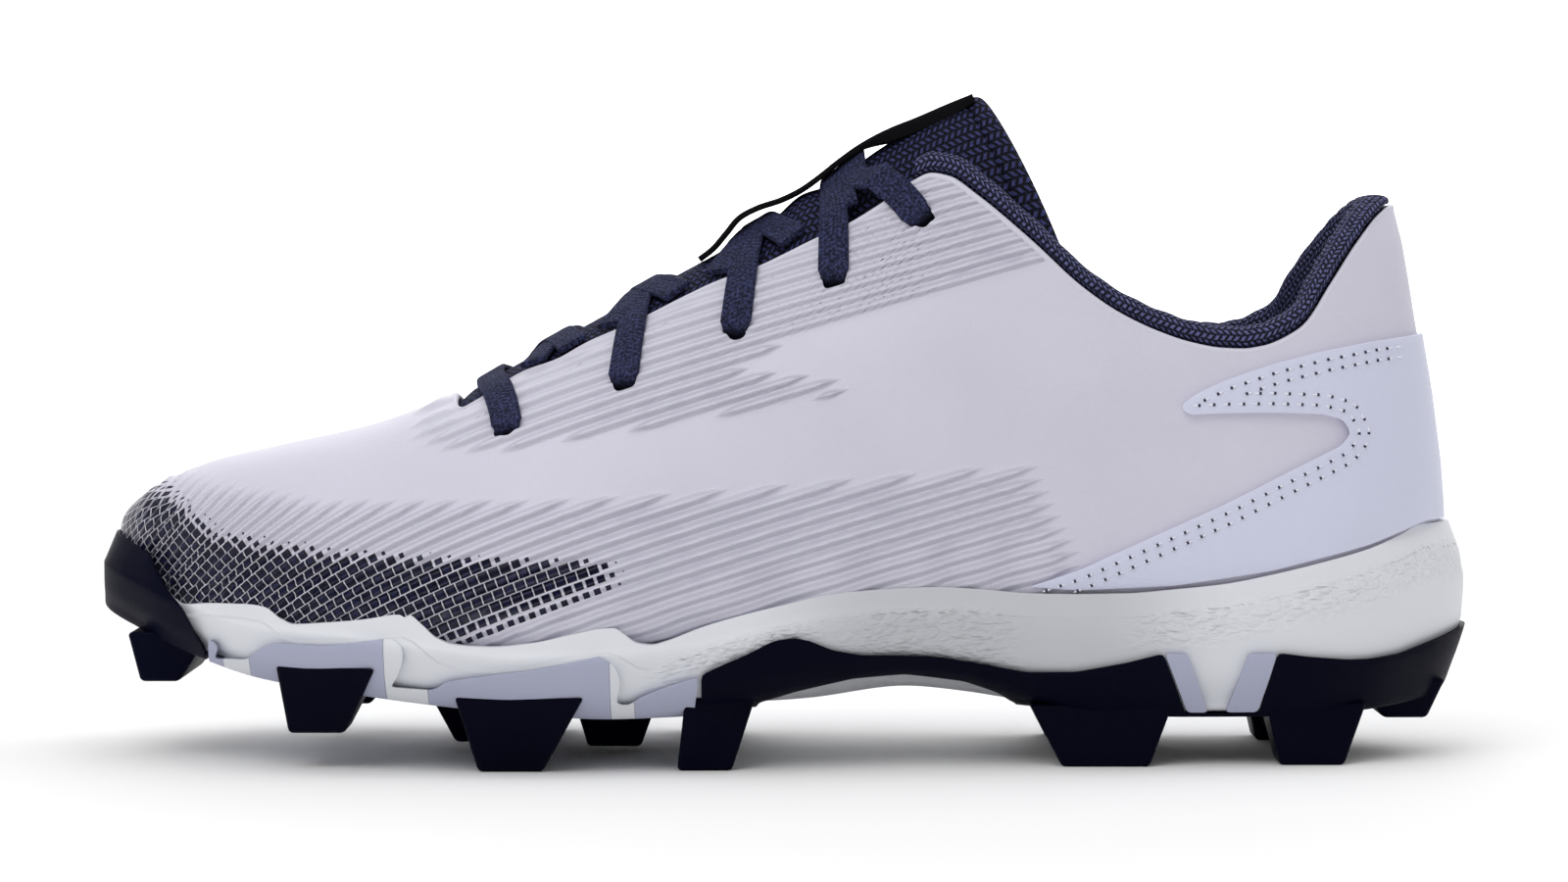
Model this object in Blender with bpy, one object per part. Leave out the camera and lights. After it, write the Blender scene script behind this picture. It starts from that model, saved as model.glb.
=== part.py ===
# Low-cut moulded baseball cleat, left shoe, standing on its lugs.
# Toe towards -X, heel towards +X, lateral side towards -Y. Lengths below are millimetres.
import bmesh
import bpy
import numpy as np
from mathutils import Vector

MM = 0.001
GAP = 0.3

# Named sizes
SHOE_LENGTH = 285.0
TABLE_LENGTH = 285.0
WALL = 2.2
PLATE_THICK = 1.3
LOWER_ROUND = 3.0
LEAN_FROM_X = 70.0
COUNTER_THICK = 0.9
LACE_WIDTH = 6.0
LACE_THICK = 1.3
STRAP_WIDTH = 11.0
STRAP_THICK = 1.2
EYELET_DIAMETER = 4.6
INSOLE_THICK = 4.0
INSOLE_EASE = 0.7
BOTTOM_LIP = 9.0
# Past the shoe's back and above its top, for cuts
CUT_X = 146.0
CUT_Z = 190.0

LAST_STATIONS = 28
SOLE_STATIONS = 32
RING_LOW = 3
RING_HIGH = 6

# Last, from toe to heel: outline on both sides, crown line, bottom, widest height, crown height
# x, lateral y, medial y, crown y, bottom z, widest z, crown z, roundness
LAST_TABLE = (
    (-139.2, 6.0, 6.0, 6.0, 34.0, 40.0, 46.0, 2.2),
    (-130.0, -14.0, 25.0, 5.5, 29.5, 39.0, 55.9, 2.2),
    (-120.0, -25.0, 33.5, 5.0, 26.5, 37.5, 60.3, 2.2),
    (-105.0, -35.5, 40.0, 4.0, 23.5, 35.5, 63.9, 2.1),
    (-85.0, -43.5, 44.0, 3.0, 20.5, 34.0, 68.5, 1.95),
    (-69.4, -46.3, 45.3, 2.5, 19.0, 33.5, 74.4, 1.8),
    (-55.0, -47.4, 45.0, 2.0, 18.2, 33.5, 81.8, 1.75),
    (-40.0, -47.4, 43.3, 1.5, 18.0, 34.5, 89.9, 1.75),
    (-20.0, -45.4, 39.5, 1.0, 19.2, 38.0, 101.0, 1.75),
    (0.0, -42.0, 35.8, 0.5, 21.8, 42.0, 113.0, 1.75),
    (15.0, -39.8, 33.6, 0.0, 24.0, 44.0, 126.0, 1.75),
    (30.0, -38.0, 32.2, 0.0, 25.6, 46.0, 142.0, 1.75),
    (45.0, -36.6, 31.6, 0.0, 26.0, 47.0, 151.0, 1.75),
    (65.0, -35.4, 32.0, 0.0, 25.5, 49.0, 155.0, 1.75),
    (90.0, -34.2, 32.6, 0.0, 25.0, 50.0, 153.0, 1.75),
    (110.0, -31.0, 30.4, 0.0, 25.0, 51.0, 152.0, 1.75),
    (125.0, -23.2, 23.2, 0.0, 26.0, 52.0, 151.0, 1.75),
    (137.0, 0.0, 0.0, 0.0, 28.0, 52.0, 150.0, 1.75),
)
UPPER_TOE_X = LAST_TABLE[0][0]
UPPER_HEEL_X = LAST_TABLE[-1][0]
# Back of the heel seen from the side
# z, x
UPPER_BACK = (
    (10.0, 134.0), (30.0, 135.6), (47.0, 137.0), (61.0, 136.0), (75.0, 134.2),
    (88.0, 132.0), (98.0, 130.4), (106.0, 129.0), (113.0, 127.2), (125.0, 124.0), (160.0, 112.0),
)
# Sole body, from toe to heel: outline at its widest, underside, depth of the keel under the arch
# x, lateral y, medial y, middle y, underside z, keel
SOLE_TABLE = (
    (-141.0, 6.0, 6.0, 6.0, 33.0, 0.0),
    (-133.0, -13.5, 26.0, 6.0, 28.5, 0.0),
    (-125.0, -23.0, 33.5, 5.0, 25.2, 0.0),
    (-117.0, -29.8, 38.2, 5.0, 22.6, 0.0),
    (-105.0, -38.0, 43.0, 4.0, 19.4, 0.0),
    (-85.0, -45.8, 47.4, 3.0, 16.6, 0.0),
    (-68.0, -49.2, 48.8, 2.0, 14.6, 0.0),
    (-50.0, -50.0, 48.0, 2.0, 12.8, 0.0),
    (-35.0, -49.4, 45.4, 1.0, 12.0, 0.0),
    (-20.0, -47.4, 41.8, 1.0, 12.4, 0.5),
    (-5.0, -44.6, 38.4, 0.0, 15.0, 3.4),
    (10.0, -42.0, 35.8, 0.0, 18.0, 5.4),
    (25.0, -39.8, 34.2, 0.0, 19.8, 5.4),
    (38.0, -38.2, 33.8, 0.0, 18.2, 5.0),
    (50.0, -37.2, 33.9, 0.0, 14.6, 3.0),
    (65.0, -36.6, 34.4, 0.0, 11.4, 0.0),
    (85.0, -36.0, 34.9, 0.0, 11.0, 0.0),
    (105.0, -34.4, 33.9, 0.0, 11.0, 0.0),
    (120.0, -29.6, 29.5, 0.0, 11.6, 0.0),
    (132.0, -20.2, 20.2, 0.0, 12.6, 0.0),
    (142.2, 0.0, 0.0, 0.0, 15.0, 0.0),
)
SOLE_TOE_X = SOLE_TABLE[0][0]
SOLE_HEEL_X = SOLE_TABLE[-1][0]
# Back of the sole seen from the side
# z, x
SOLE_BACK = (
    (0.0, 131.0), (10.0, 134.6), (15.0, 137.4), (22.0, 139.8), (28.0, 141.6),
    (36.0, 142.2), (42.0, 141.2), (48.0, 139.0), (56.0, 136.0),
)
# Top edge of the midsole seen from the side, with its three steps at the forefoot
# x, z
RIM = (
    (-146.0, 44.0), (-136.0, 44.0), (-131.0, 40.3), (-127.0, 36.0), (-124.0, 33.2),
    (-122.1, 32.4), (-116.2, 33.0), (-108.3, 33.2), (-104.4, 32.8), (-100.8, 30.6),
    (-97.8, 29.6), (-91.7, 30.1), (-83.7, 30.9), (-77.7, 31.9), (-74.7, 32.0),
    (-71.8, 30.0), (-68.8, 27.4), (-64.9, 26.1), (-58.1, 25.7), (-50.2, 26.4),
    (-42.5, 28.0), (-36.7, 29.2), (-33.8, 29.4), (-31.8, 28.3), (-29.0, 26.4),
    (-26.1, 26.0), (-23.2, 26.7), (-15.4, 29.6), (-7.6, 31.8), (0.2, 33.6),
    (10.0, 35.7), (19.8, 36.5), (29.6, 36.9), (39.5, 36.4), (49.4, 35.5),
    (59.3, 35.3), (69.1, 35.4), (79.0, 36.2), (88.8, 37.2), (98.8, 39.1),
    (108.8, 41.4), (119.2, 44.1), (126.2, 46.6), (131.6, 48.4), (146.0, 48.4),
)
# Throat and collar edge of the upper seen from the side
# x, z
TOP_LINE = (
    (-70.0, 90.0), (-68.6, 74.6), (-67.6, 72.2), (-66.0, 71.8), (-61.1, 74.3),
    (-53.3, 79.2), (-46.2, 81.8), (-40.1, 85.2), (-30.1, 89.6), (-20.0, 94.7),
    (-12.9, 98.0), (-5.4, 100.6), (0.2, 103.2), (6.2, 106.2), (12.9, 109.2),
    (19.9, 113.4), (26.3, 118.0), (30.3, 119.8), (33.6, 119.2), (40.1, 114.6),
    (49.9, 106.2), (59.7, 97.1), (67.6, 91.6), (75.5, 87.8), (82.0, 85.6),
    (88.3, 84.4), (93.0, 84.2), (97.4, 84.8), (105.5, 88.7), (112.0, 97.6),
    (117.7, 105.6), (122.8, 111.3), (126.0, 113.4), (133.0, 113.6),
)
# Outlines seen from the side; each wraps round the shoe onto both sides
# x, z
BUMPER_OUTLINE = (
    (-146.0, 45.4), (-138.4, 46.2), (-134.6, 45.2), (-131.6, 42.9), (-128.2, 39.1),
    (-125.7, 35.1), (-122.3, 31.9), (-120.4, 28.4), (-118.2, 24.6), (-117.4, 21.6),
    (-120.0, 17.0), (-146.0, 17.0),
)
FOREFOOT_PLATE_OUTLINE = (
    (-116.4, 25.8), (-114.2, 24.4), (-115.6, 21.6), (-108.5, 21.8), (-105.0, 24.6),
    (-102.2, 25.7), (-97.7, 25.7), (-91.6, 25.5), (-83.6, 26.7), (-77.7, 27.5),
    (-75.5, 25.8), (-75.5, 22.8), (-77.0, 19.2), (-78.5, 17.3), (-69.8, 16.8),
    (-66.8, 18.8), (-61.9, 19.6), (-56.1, 20.4), (-50.2, 21.2), (-44.4, 22.1),
    (-38.6, 23.5), (-36.3, 24.1), (-33.2, 21.8), (-32.2, 18.6), (-33.3, 14.1),
    (-30.9, 13.7), (-28.0, 15.7), (-23.2, 17.6), (-16.8, 19.6), (-18.6, 6.0),
    (-118.0, 6.0), (-117.0, 20.0),
)
REAR_PLATE_OUTLINE = (
    (-16.3, 19.9), (-11.5, 22.1), (-7.6, 23.7), (-1.8, 26.6), (2.1, 27.1),
    (5.1, 26.5), (10.0, 24.4), (15.9, 23.2), (23.7, 23.0), (31.6, 22.6),
    (39.5, 21.2), (49.3, 19.4), (59.2, 19.6), (69.1, 21.4), (76.6, 23.3),
    (81.6, 10.6), (96.5, 10.6), (99.9, 23.3), (106.6, 22.4), (114.8, 21.6),
    (119.0, 21.6), (125.8, 22.3), (132.8, 24.3), (138.3, 25.8), (147.0, 28.2),
    (147.0, 2.0), (49.4, 2.0), (48.0, 11.4), (43.6, 14.6), (36.6, 17.2),
    (24.6, 18.8), (14.0, 18.1), (2.2, 15.4), (-5.0, 13.0), (-8.0, 2.0), (-16.3, 2.0),
)
HEEL_BAR_FRONT = ((76.9, 23.3), (81.4, 23.3), (86.1, 10.9), (81.9, 10.9))
HEEL_BAR_BACK = ((93.9, 23.3), (99.6, 23.3), (96.2, 10.9), (89.7, 10.9))
COUNTER_OUTLINE = (
    (140.0, 87.9), (131.6, 87.2), (120.5, 86.0), (109.5, 84.1), (99.2, 81.6),
    (89.2, 78.3), (83.2, 75.5), (80.6, 73.6), (80.4, 72.4), (81.8, 71.4),
    (89.0, 71.7), (98.9, 71.8), (108.9, 71.4), (113.4, 70.2), (115.0, 67.4),
    (113.0, 65.0), (102.9, 60.2), (88.9, 53.3), (75.1, 47.1), (59.3, 40.0),
    (49.6, 37.0), (59.3, 36.8), (79.0, 37.9), (98.8, 40.9), (119.2, 45.9),
    (131.6, 50.2), (140.0, 50.2),
)
# Lugs: side outline at top and bottom, and where each stands across the shoe
# name, top x front, top x back, top z, low x front, low x back, low z, low y near, low y far
FRONT_LUGS = (
    ("lug_front", -102.0, -81.2, 21.3, -99.7, -88.4, 7.2, 24.0, 36.0),
    ("lug_ball", -65.6, -39.6, 15.6, -61.1, -48.2, 0.0, 28.0, 41.5),
)
REAR_LUGS = (
    ("waist", -15.9, -5.6, 15.0, -20.2, -10.6, 0.0, 28.0, 39.5),
    ("heel_front", 50.0, 79.0, 12.6, 56.5, 74.2, 0.0, 21.0, 32.5),
    ("heel_back", 98.0, 119.0, 12.6, 100.9, 114.0, 0.0, 18.0, 29.5),
)
FRONT_LUG_REACH = GAP * 2 + PLATE_THICK + 1.5
REAR_LUG_REACH = GAP + PLATE_THICK + 0.2
# Lugs on the middle line
# name, top x front, top x back, top z, low x front, low x back, low z, y from, y to
MIDDLE_LUGS = (
    ("lug_middle_front", -75.0, -49.0, 16.0, -68.0, -54.0, 2.4, -8.0, 12.0),
    ("lug_middle_back", -44.0, -25.0, 14.0, -40.5, -29.5, 1.6, -9.0, 9.0),
)
TOE_LUG = (-134.8, -117.6, 26.0, -132.6, -124.6, 15.6, -14.0, 22.0)
TAIL_LUG = (118.0, 137.0, 16.0, 124.5, 133.6, 7.6, -9.0, 9.0)

# Eyelets: place seen from the side, the crown where the lace crosses, where it dives under
# x, z, crown x, dive x
EYELETS = (
    (-56.1, 68.3, -61.0, None),
    (-32.3, 78.1, -28.6, -21.8),
    (-9.6, 88.6, -5.2, 2.0),
    (10.2, 99.0, 10.6, 12.4),
    (28.1, 111.2, 17.2, None),
)
# Laces from one edge of the throat to the other, joined to the crossing they meet
# name, first x, crown x, last x
EDGE_BARS = (
    ("lace_row_2", -35.6, -29.6, -35.6),
    ("lace_row_3", -13.4, -6.2, -13.4),
)
CROSS_BAR = (-51.5, -47.0, -43.4)
LACE_RISE = 2.8
# Tongue, from the vamp to its top end
# crown x, crown z, wing set back, half width, thickness
TONGUE_TABLE = (
    (-72.0, 69.6, 0.0, 12.0, 2.4),
    (-64.0, 74.2, 0.0, 17.0, 3.0),
    (-54.0, 80.0, 0.0, 20.5, 3.8),
    (-40.0, 87.9, 0.0, 23.0, 4.6),
    (-25.0, 96.2, 0.0, 24.0, 4.6),
    (-10.0, 104.4, 0.5, 24.5, 4.6),
    (0.0, 110.2, 1.5, 24.5, 4.6),
    (10.0, 116.6, 3.0, 24.5, 4.6),
    (20.0, 124.4, 5.0, 24.0, 4.6),
    (30.0, 131.0, 9.5, 23.2, 4.6),
    (36.0, 134.0, 12.5, 22.6, 4.6),
    (41.4, 136.2, 15.5, 22.2, 4.0),
)
# Webbing on the tongue: an arch over the laces, then a loop up to the tongue's top end
# x, z above the ground
STRAP_TABLE = (
    (-17.4, 102.6), (-14.6, 104.8), (-12.0, 107.8), (-9.0, 111.3), (-5.0, 113.4),
    (-0.5, 114.9), (3.6, 116.9), (7.6, 119.7), (11.5, 122.8), (16.5, 126.3),
    (22.0, 129.2), (28.0, 131.6), (34.0, 134.2), (39.4, 136.4),
)
# Collar roll: how far it sits inside the edge and above it
# inward, up
COLLAR_PROFILE = (
    (2.6, -13.0), (2.7, -5.0), (2.6, 0.4), (0.9, 1.6), (0.8, 3.2), (2.0, 4.5),
    (4.0, 4.9), (6.2, 4.2), (7.4, 2.2), (7.6, -3.0), (6.0, -13.0),
)
COLLAR_FROM_X = 36.0
COLLAR_BACK_X = 127.0

COLOURS = {
    "synthetic_white": (0.72, 0.71, 0.78),
    "synthetic_lilac": (0.55, 0.57, 0.70),
    "foam_white": (0.64, 0.66, 0.66),
    "rubber_navy": (0.010, 0.010, 0.040),
    "rubber_lilac": (0.42, 0.44, 0.57),
    "mesh_navy": (0.022, 0.024, 0.090),
    "lace_navy": (0.020, 0.022, 0.095),
    "webbing_black": (0.008, 0.008, 0.012),
    "sockliner": (0.030, 0.033, 0.100),
}


# Curves through table rows
def hermite(xs, ys, at):
    xs = np.asarray(xs, float)
    ys = np.asarray(ys, float)
    step = np.diff(xs)
    slope = np.diff(ys) / step
    tangent = np.zeros(len(xs))
    tangent[0] = slope[0]
    tangent[-1] = slope[-1]
    for i in range(1, len(xs) - 1):
        if slope[i - 1] * slope[i] > 0:
            one = 2 * step[i] + step[i - 1]
            two = step[i] + 2 * step[i - 1]
            tangent[i] = (one + two) / (one / slope[i - 1] + two / slope[i])
    at = np.clip(np.asarray(at, float), xs[0], xs[-1])
    i = np.clip(np.searchsorted(xs, at, side="right") - 1, 0, len(xs) - 2)
    t = (at - xs[i]) / step[i]
    return (
        (2 * t**3 - 3 * t**2 + 1) * ys[i]
        + (t**3 - 2 * t**2 + t) * step[i] * tangent[i]
        + (3 * t**2 - 2 * t**3) * ys[i + 1]
        + (t**3 - t**2) * step[i] * tangent[i + 1]
    )


def angle_of(x, first, last):
    share = np.clip((np.asarray(x, float) - first) / (last - first), 0.0, 1.0)
    return np.arccos(1 - 2 * share)


def station_curve(table, column, angle):
    rows = np.array(table, float)
    angles = angle_of(rows[:, 0], rows[0, 0], rows[-1, 0])
    return hermite(angles, rows[:, column], angle)


def straight(line, at):
    rows = np.array(line, float)
    return np.interp(at, rows[:, 0], rows[:, 1])


def lean(x, z, back, longest):
    reach = (straight(back, z) - LEAN_FROM_X) / (longest - LEAN_FROM_X)
    return np.where(x > LEAN_FROM_X, LEAN_FROM_X + (x - LEAN_FROM_X) * reach, x)


# The last and every surface offset from it
def last_section(angle, grow):
    lat = station_curve(LAST_TABLE, 1, angle)
    med = station_curve(LAST_TABLE, 2, angle)
    mid = station_curve(LAST_TABLE, 3, angle)
    low = station_curve(LAST_TABLE, 4, angle) - grow
    wide = station_curve(LAST_TABLE, 5, angle)
    top = station_curve(LAST_TABLE, 6, angle) + grow
    power = station_curve(LAST_TABLE, 7, angle)
    spread = grow * np.minimum(1.0, np.sin(angle) * 8.0)
    return lat - spread, med + spread, mid, low, wide, top, power


def last_ring(angle, grow):
    lat, med, mid, low, wide, top, power = last_section(angle, grow)
    middle = (UPPER_TOE_X + UPPER_HEEL_X) / 2
    half = (UPPER_HEEL_X - UPPER_TOE_X) / 2 + grow
    x = middle - half * np.cos(angle)
    points = []
    side = []
    for i in range(RING_LOW):
        turn = np.pi / 2 * (1 - i / RING_LOW)
        across = abs(np.cos(turn)) ** (2 / LOWER_ROUND) if i else 0.0
        down = np.sin(turn) ** (2 / LOWER_ROUND)
        side.append((across, wide - (wide - low) * down))
    for i in range(RING_HIGH + 1):
        turn = np.pi / 2 * i / RING_HIGH
        across = abs(np.cos(turn)) ** (2 / power) if i < RING_HIGH else 0.0
        up = np.sin(turn) ** (2 / power)
        side.append((across, wide + (top - wide) * up))
    for across, z in side:
        points.append((x, mid + (lat - mid) * across, z))
    for across, z in side[-2:0:-1]:
        points.append((x, mid + (med - mid) * across, z))
    ring = np.array(points)
    longest = UPPER_HEEL_X
    ring[:, 0] = lean(ring[:, 0], ring[:, 2], UPPER_BACK, longest)
    return ring


def last_y(x, z, side, grow=0.0):
    """Where the last's surface stands at this height; side is -1 lateral, +1 medial."""
    flat = x
    if x > LEAN_FROM_X:
        reach = (straight(UPPER_BACK, z) - LEAN_FROM_X) / (UPPER_HEEL_X - LEAN_FROM_X)
        flat = LEAN_FROM_X + (x - LEAN_FROM_X) / reach
    angle = float(angle_of(flat, UPPER_TOE_X - grow, UPPER_HEEL_X + grow))
    lat, med, mid, low, wide, top, power = last_section(angle, grow)
    edge = lat if side < 0 else med
    if z >= wide:
        share = min(1.0, (z - wide) / (top - wide))
        reach = (1 - share**power) ** (1 / power)
    else:
        share = min(1.0, (wide - z) / (wide - low))
        reach = (1 - share**LOWER_ROUND) ** (1 / LOWER_ROUND)
    return float(mid + (edge - mid) * reach)


def last_z(x, y, grow=0.0):
    """Height of the last's upper surface above a place in plan."""
    angle = float(angle_of(x, UPPER_TOE_X - grow, UPPER_HEEL_X + grow))
    lat, med, mid, low, wide, top, power = last_section(angle, grow)
    edge = lat if y < mid else med
    share = min(1.0, abs((y - mid) / (edge - mid)))
    return float(wide + (top - wide) * (1 - share**power) ** (1 / power))


def sole_ring(angle, grow):
    lat = station_curve(SOLE_TABLE, 1, angle)
    med = station_curve(SOLE_TABLE, 2, angle)
    mid = station_curve(SOLE_TABLE, 3, angle)
    low = station_curve(SOLE_TABLE, 4, angle)
    keel = station_curve(SOLE_TABLE, 5, angle)
    middle = (SOLE_TOE_X + SOLE_HEEL_X) / 2
    half = (SOLE_HEEL_X - SOLE_TOE_X) / 2
    x = middle - (half + grow) * np.cos(angle)
    rim = float(np.interp(middle - half * np.cos(angle), *sole_rim_smooth()))
    spread = min(1.0, np.sin(angle) * 8.0)
    tall = rim - low
    # across share, inward set, height
    side = (
        (0.0, 0.0, low - keel - grow),
        (0.40, 0.0, low - keel * 0.9 - grow),
        (0.80, 0.0, low - grow),
        (0.90, 1.5 - grow, low + 0.10 * tall - grow * 0.6),
        (0.955, 0.0 - grow, low + 0.34 * tall),
        (1.0, 0.0 - grow, low + 0.72 * tall),
        (0.99, 0.3 - grow, rim - 2.0),
        (0.97, 1.5 - grow, rim + 3.6),
        (0.0, 0.0, rim + 3.6),
    )
    points = []
    for share, inset, z in side:
        points.append((x, mid + (lat - mid) * share + inset * spread, z))
    for share, inset, z in side[-2:0:-1]:
        points.append((x, mid + (med - mid) * share - inset * spread, z))
    ring = np.array(points)
    ring[:, 0] = lean(ring[:, 0], ring[:, 2], SOLE_BACK, SOLE_HEEL_X)
    return ring


def sole_rim_smooth():
    xs = np.linspace(SOLE_TOE_X, SOLE_HEEL_X, 60)
    raw = straight(RIM, xs)
    soft = np.convolve(np.pad(raw, 3, mode="edge"), np.ones(7) / 7, mode="valid")
    return xs, soft


def sole_y(x, z, side, grow=0.0):
    angle = float(angle_of(x, SOLE_TOE_X - grow, SOLE_HEEL_X + grow))
    ring = sole_ring(angle, grow)
    half = len(ring) // 2
    part = ring[2 : half - 1] if side < 0 else ring[half + 2 : -1][::-1]
    return float(np.interp(z, part[:, 2], part[:, 1]))


# Meshes
def material(name):
    found = bpy.data.materials.get(name)
    if found:
        return found
    made = bpy.data.materials.new(name)
    made.use_nodes = True
    shader = made.node_tree.nodes["Principled BSDF"]
    shader.inputs["Base Color"].default_value = (*COLOURS[name], 1.0)
    shader.inputs["Roughness"].default_value = 0.55
    made.diffuse_color = (*COLOURS[name], 1.0)
    return made


def make_object(name, points, faces, paint="synthetic_white"):
    mesh = bpy.data.meshes.new(name)
    scaled = np.asarray(points, float) * MM * SHOE_LENGTH / TABLE_LENGTH
    mesh.from_pydata([tuple(p) for p in scaled], [], faces)
    mesh.materials.append(material(paint))
    obj = bpy.data.objects.new(name, mesh)
    SHOE.objects.link(obj)
    tidy(obj)
    return obj


def tidy(obj):
    work = bmesh.new()
    work.from_mesh(obj.data)
    bmesh.ops.remove_doubles(work, verts=work.verts, dist=0.00002)
    bmesh.ops.recalc_face_normals(work, faces=work.faces)
    if work.calc_volume(signed=True) < 0:
        bmesh.ops.reverse_faces(work, faces=work.faces)
    work.to_mesh(obj.data)
    work.free()


def loft(name, rings, paint="synthetic_white", capped=True):
    """Rings of equal count joined in order; the ends are capped with one face each."""
    count = len(rings[0])
    half = count // 2
    last = len(rings) - 2
    points = np.concatenate(rings)
    faces = []
    for i in range(len(rings) - 1):
        for j in range(count):
            k = (j + 1) % count
            a, b = i * count + j, i * count + k
            c, d = b + count, a + count
            turned = (i == 0 and j in (half - 1, half)) or (i == last and j in (0, count - 1))
            first = (j < half) != turned
            faces += [(a, b, c), (a, c, d)] if first else [(a, b, d), (b, c, d)]
    if capped:
        faces.append(tuple(range(count - 1, -1, -1)))
        faces.append(tuple((len(rings) - 1) * count + j for j in range(count)))
    return make_object(name, points, faces, paint)


def angles(count):
    return np.linspace(0.0, np.pi, count)


def last_solid(name, grow):
    rings = [last_ring(a, grow) for a in angles(LAST_STATIONS)]
    return loft(name, rings, capped=False)


def sole_solid(name, grow):
    rings = [sole_ring(a, grow) for a in angles(SOLE_STATIONS)]
    return loft(name, rings, capped=False)


def bmesh_object(name, work):
    """Turns a bmesh in table millimetres into an object."""
    bmesh.ops.scale(work, verts=work.verts, vec=(MM * SHOE_LENGTH / TABLE_LENGTH,) * 3)
    mesh = bpy.data.meshes.new(name)
    work.to_mesh(mesh)
    work.free()
    mesh.materials.append(material("synthetic_white"))
    obj = bpy.data.objects.new(name, mesh)
    SHOE.objects.link(obj)
    tidy(obj)
    return obj


def prism(name, outline, y_from=-90.0, y_to=90.0):
    """An outline seen from the side, run across the shoe."""
    work = bmesh.new()
    face = work.faces.new([work.verts.new((x, y_from, z)) for x, z in outline])
    made = bmesh.ops.extrude_face_region(work, geom=[face])["geom"]
    moved = [item for item in made if isinstance(item, bmesh.types.BMVert)]
    bmesh.ops.translate(work, verts=moved, vec=(0.0, y_to - y_from, 0.0))
    return bmesh_object(name, work)


def combine(target, operation, other, keep=False):
    modifier = target.modifiers.new("cut", "BOOLEAN")
    modifier.operation = operation
    modifier.solver = "EXACT"
    modifier.object = other
    bpy.context.view_layer.update()
    graph = bpy.context.evaluated_depsgraph_get()
    made = bpy.data.meshes.new_from_object(target.evaluated_get(graph))
    old = target.data
    target.modifiers.clear()
    target.data = made
    bpy.data.meshes.remove(old)
    if not keep:
        bpy.data.objects.remove(other)
    return target


def largest_only(obj):
    """Leaves the main body where a cut has freed thin scraps."""
    work = bmesh.new()
    work.from_mesh(obj.data)
    left = set(work.verts)
    bodies = []
    while left:
        todo = [left.pop()]
        body = set(todo)
        while todo:
            for edge in todo.pop().link_edges:
                for vert in edge.verts:
                    if vert in left:
                        left.remove(vert)
                        body.add(vert)
                        todo.append(vert)
        bodies.append(body)
    if len(bodies) > 1:
        sizes = []
        for body in bodies:
            spots = np.array([vert.co for vert in body])
            sizes.append(float(np.prod(np.ptp(spots, axis=0) + 1e-6)))
        keep = bodies[int(np.argmax(sizes))]
        bmesh.ops.delete(work, geom=[v for v in work.verts if v not in keep], context="VERTS")
    work.to_mesh(obj.data)
    work.free()
    return obj


def paint(obj, name):
    obj.data.materials.clear()
    obj.data.materials.append(material(name))
    for face in obj.data.polygons:
        face.material_index = 0


def rename(obj, name, colour):
    obj.name = name
    obj.data.name = name
    paint(obj, colour)
    return obj


def cylinder(name, centre, axis, radius, length, sides=12):
    work = bmesh.new()
    bmesh.ops.create_cone(
        work, cap_ends=True, segments=sides, radius1=radius, radius2=radius, depth=length
    )
    turn = Vector((0.0, 0.0, 1.0)).rotation_difference(Vector(axis)).to_matrix()
    bmesh.ops.rotate(work, verts=work.verts, cent=(0.0, 0.0, 0.0), matrix=turn)
    bmesh.ops.translate(work, verts=work.verts, vec=Vector(centre))
    return bmesh_object(name, work)


# Upper
def top_line_prism(name, shift=0.0):
    outline = [(x, z + shift) for x, z in TOP_LINE]
    return prism(name, outline + [(CUT_X, outline[-1][1]), (CUT_X, CUT_Z), (outline[0][0], CUT_Z)])


def eyelet_place(x, z, side):
    y = last_y(x, z, side)
    ahead = last_y(x + 1.0, z, side) - y
    above = last_y(x, z + 1.0, side) - y
    normal = np.cross((1.0, ahead, 0.0), (0.0, above, 1.0))
    normal = normal / np.linalg.norm(normal)
    return np.array((x, y, z)), normal if normal[1] * side > 0 else -normal


def build_upper():
    outer = last_solid("outer", 0.0)
    inner = last_solid("inner", -WALL)
    combine(outer, "DIFFERENCE", inner)
    combine(outer, "DIFFERENCE", top_line_prism("top_line"))
    rings = []
    for x in np.linspace(-118.0, 118.0, 16):
        angle = float(angle_of(x, UPPER_TOE_X, UPPER_HEEL_X))
        lat, med, mid, low, wide, top, power = last_section(angle, 0.0)
        near = lat + BOTTOM_LIP
        far = med - BOTTOM_LIP
        high = low + WALL + 2.5
        rings.append(np.array(((x, near, 5.0), (x, far, 5.0), (x, far, high), (x, near, high))))
    combine(outer, "DIFFERENCE", loft("bottom_opening", rings))
    for x, z, crown, dive in EYELETS:
        for side in (-1, 1):
            place, normal = eyelet_place(x, z, side)
            hole = cylinder("eyelet", place, normal, EYELET_DIAMETER / 2, 9.0)
            combine(outer, "DIFFERENCE", hole)
    largest_only(outer)
    return rename(outer, "upper", "synthetic_white")


def upper_keepout(name, inside=GAP):
    """The upper's wall with a clearance round it, without its openings."""
    wall = last_solid(name, GAP)
    hollow = last_solid("hollow", -WALL - inside)
    combine(wall, "DIFFERENCE", hollow)
    return combine(wall, "DIFFERENCE", top_line_prism("line", GAP))


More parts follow.
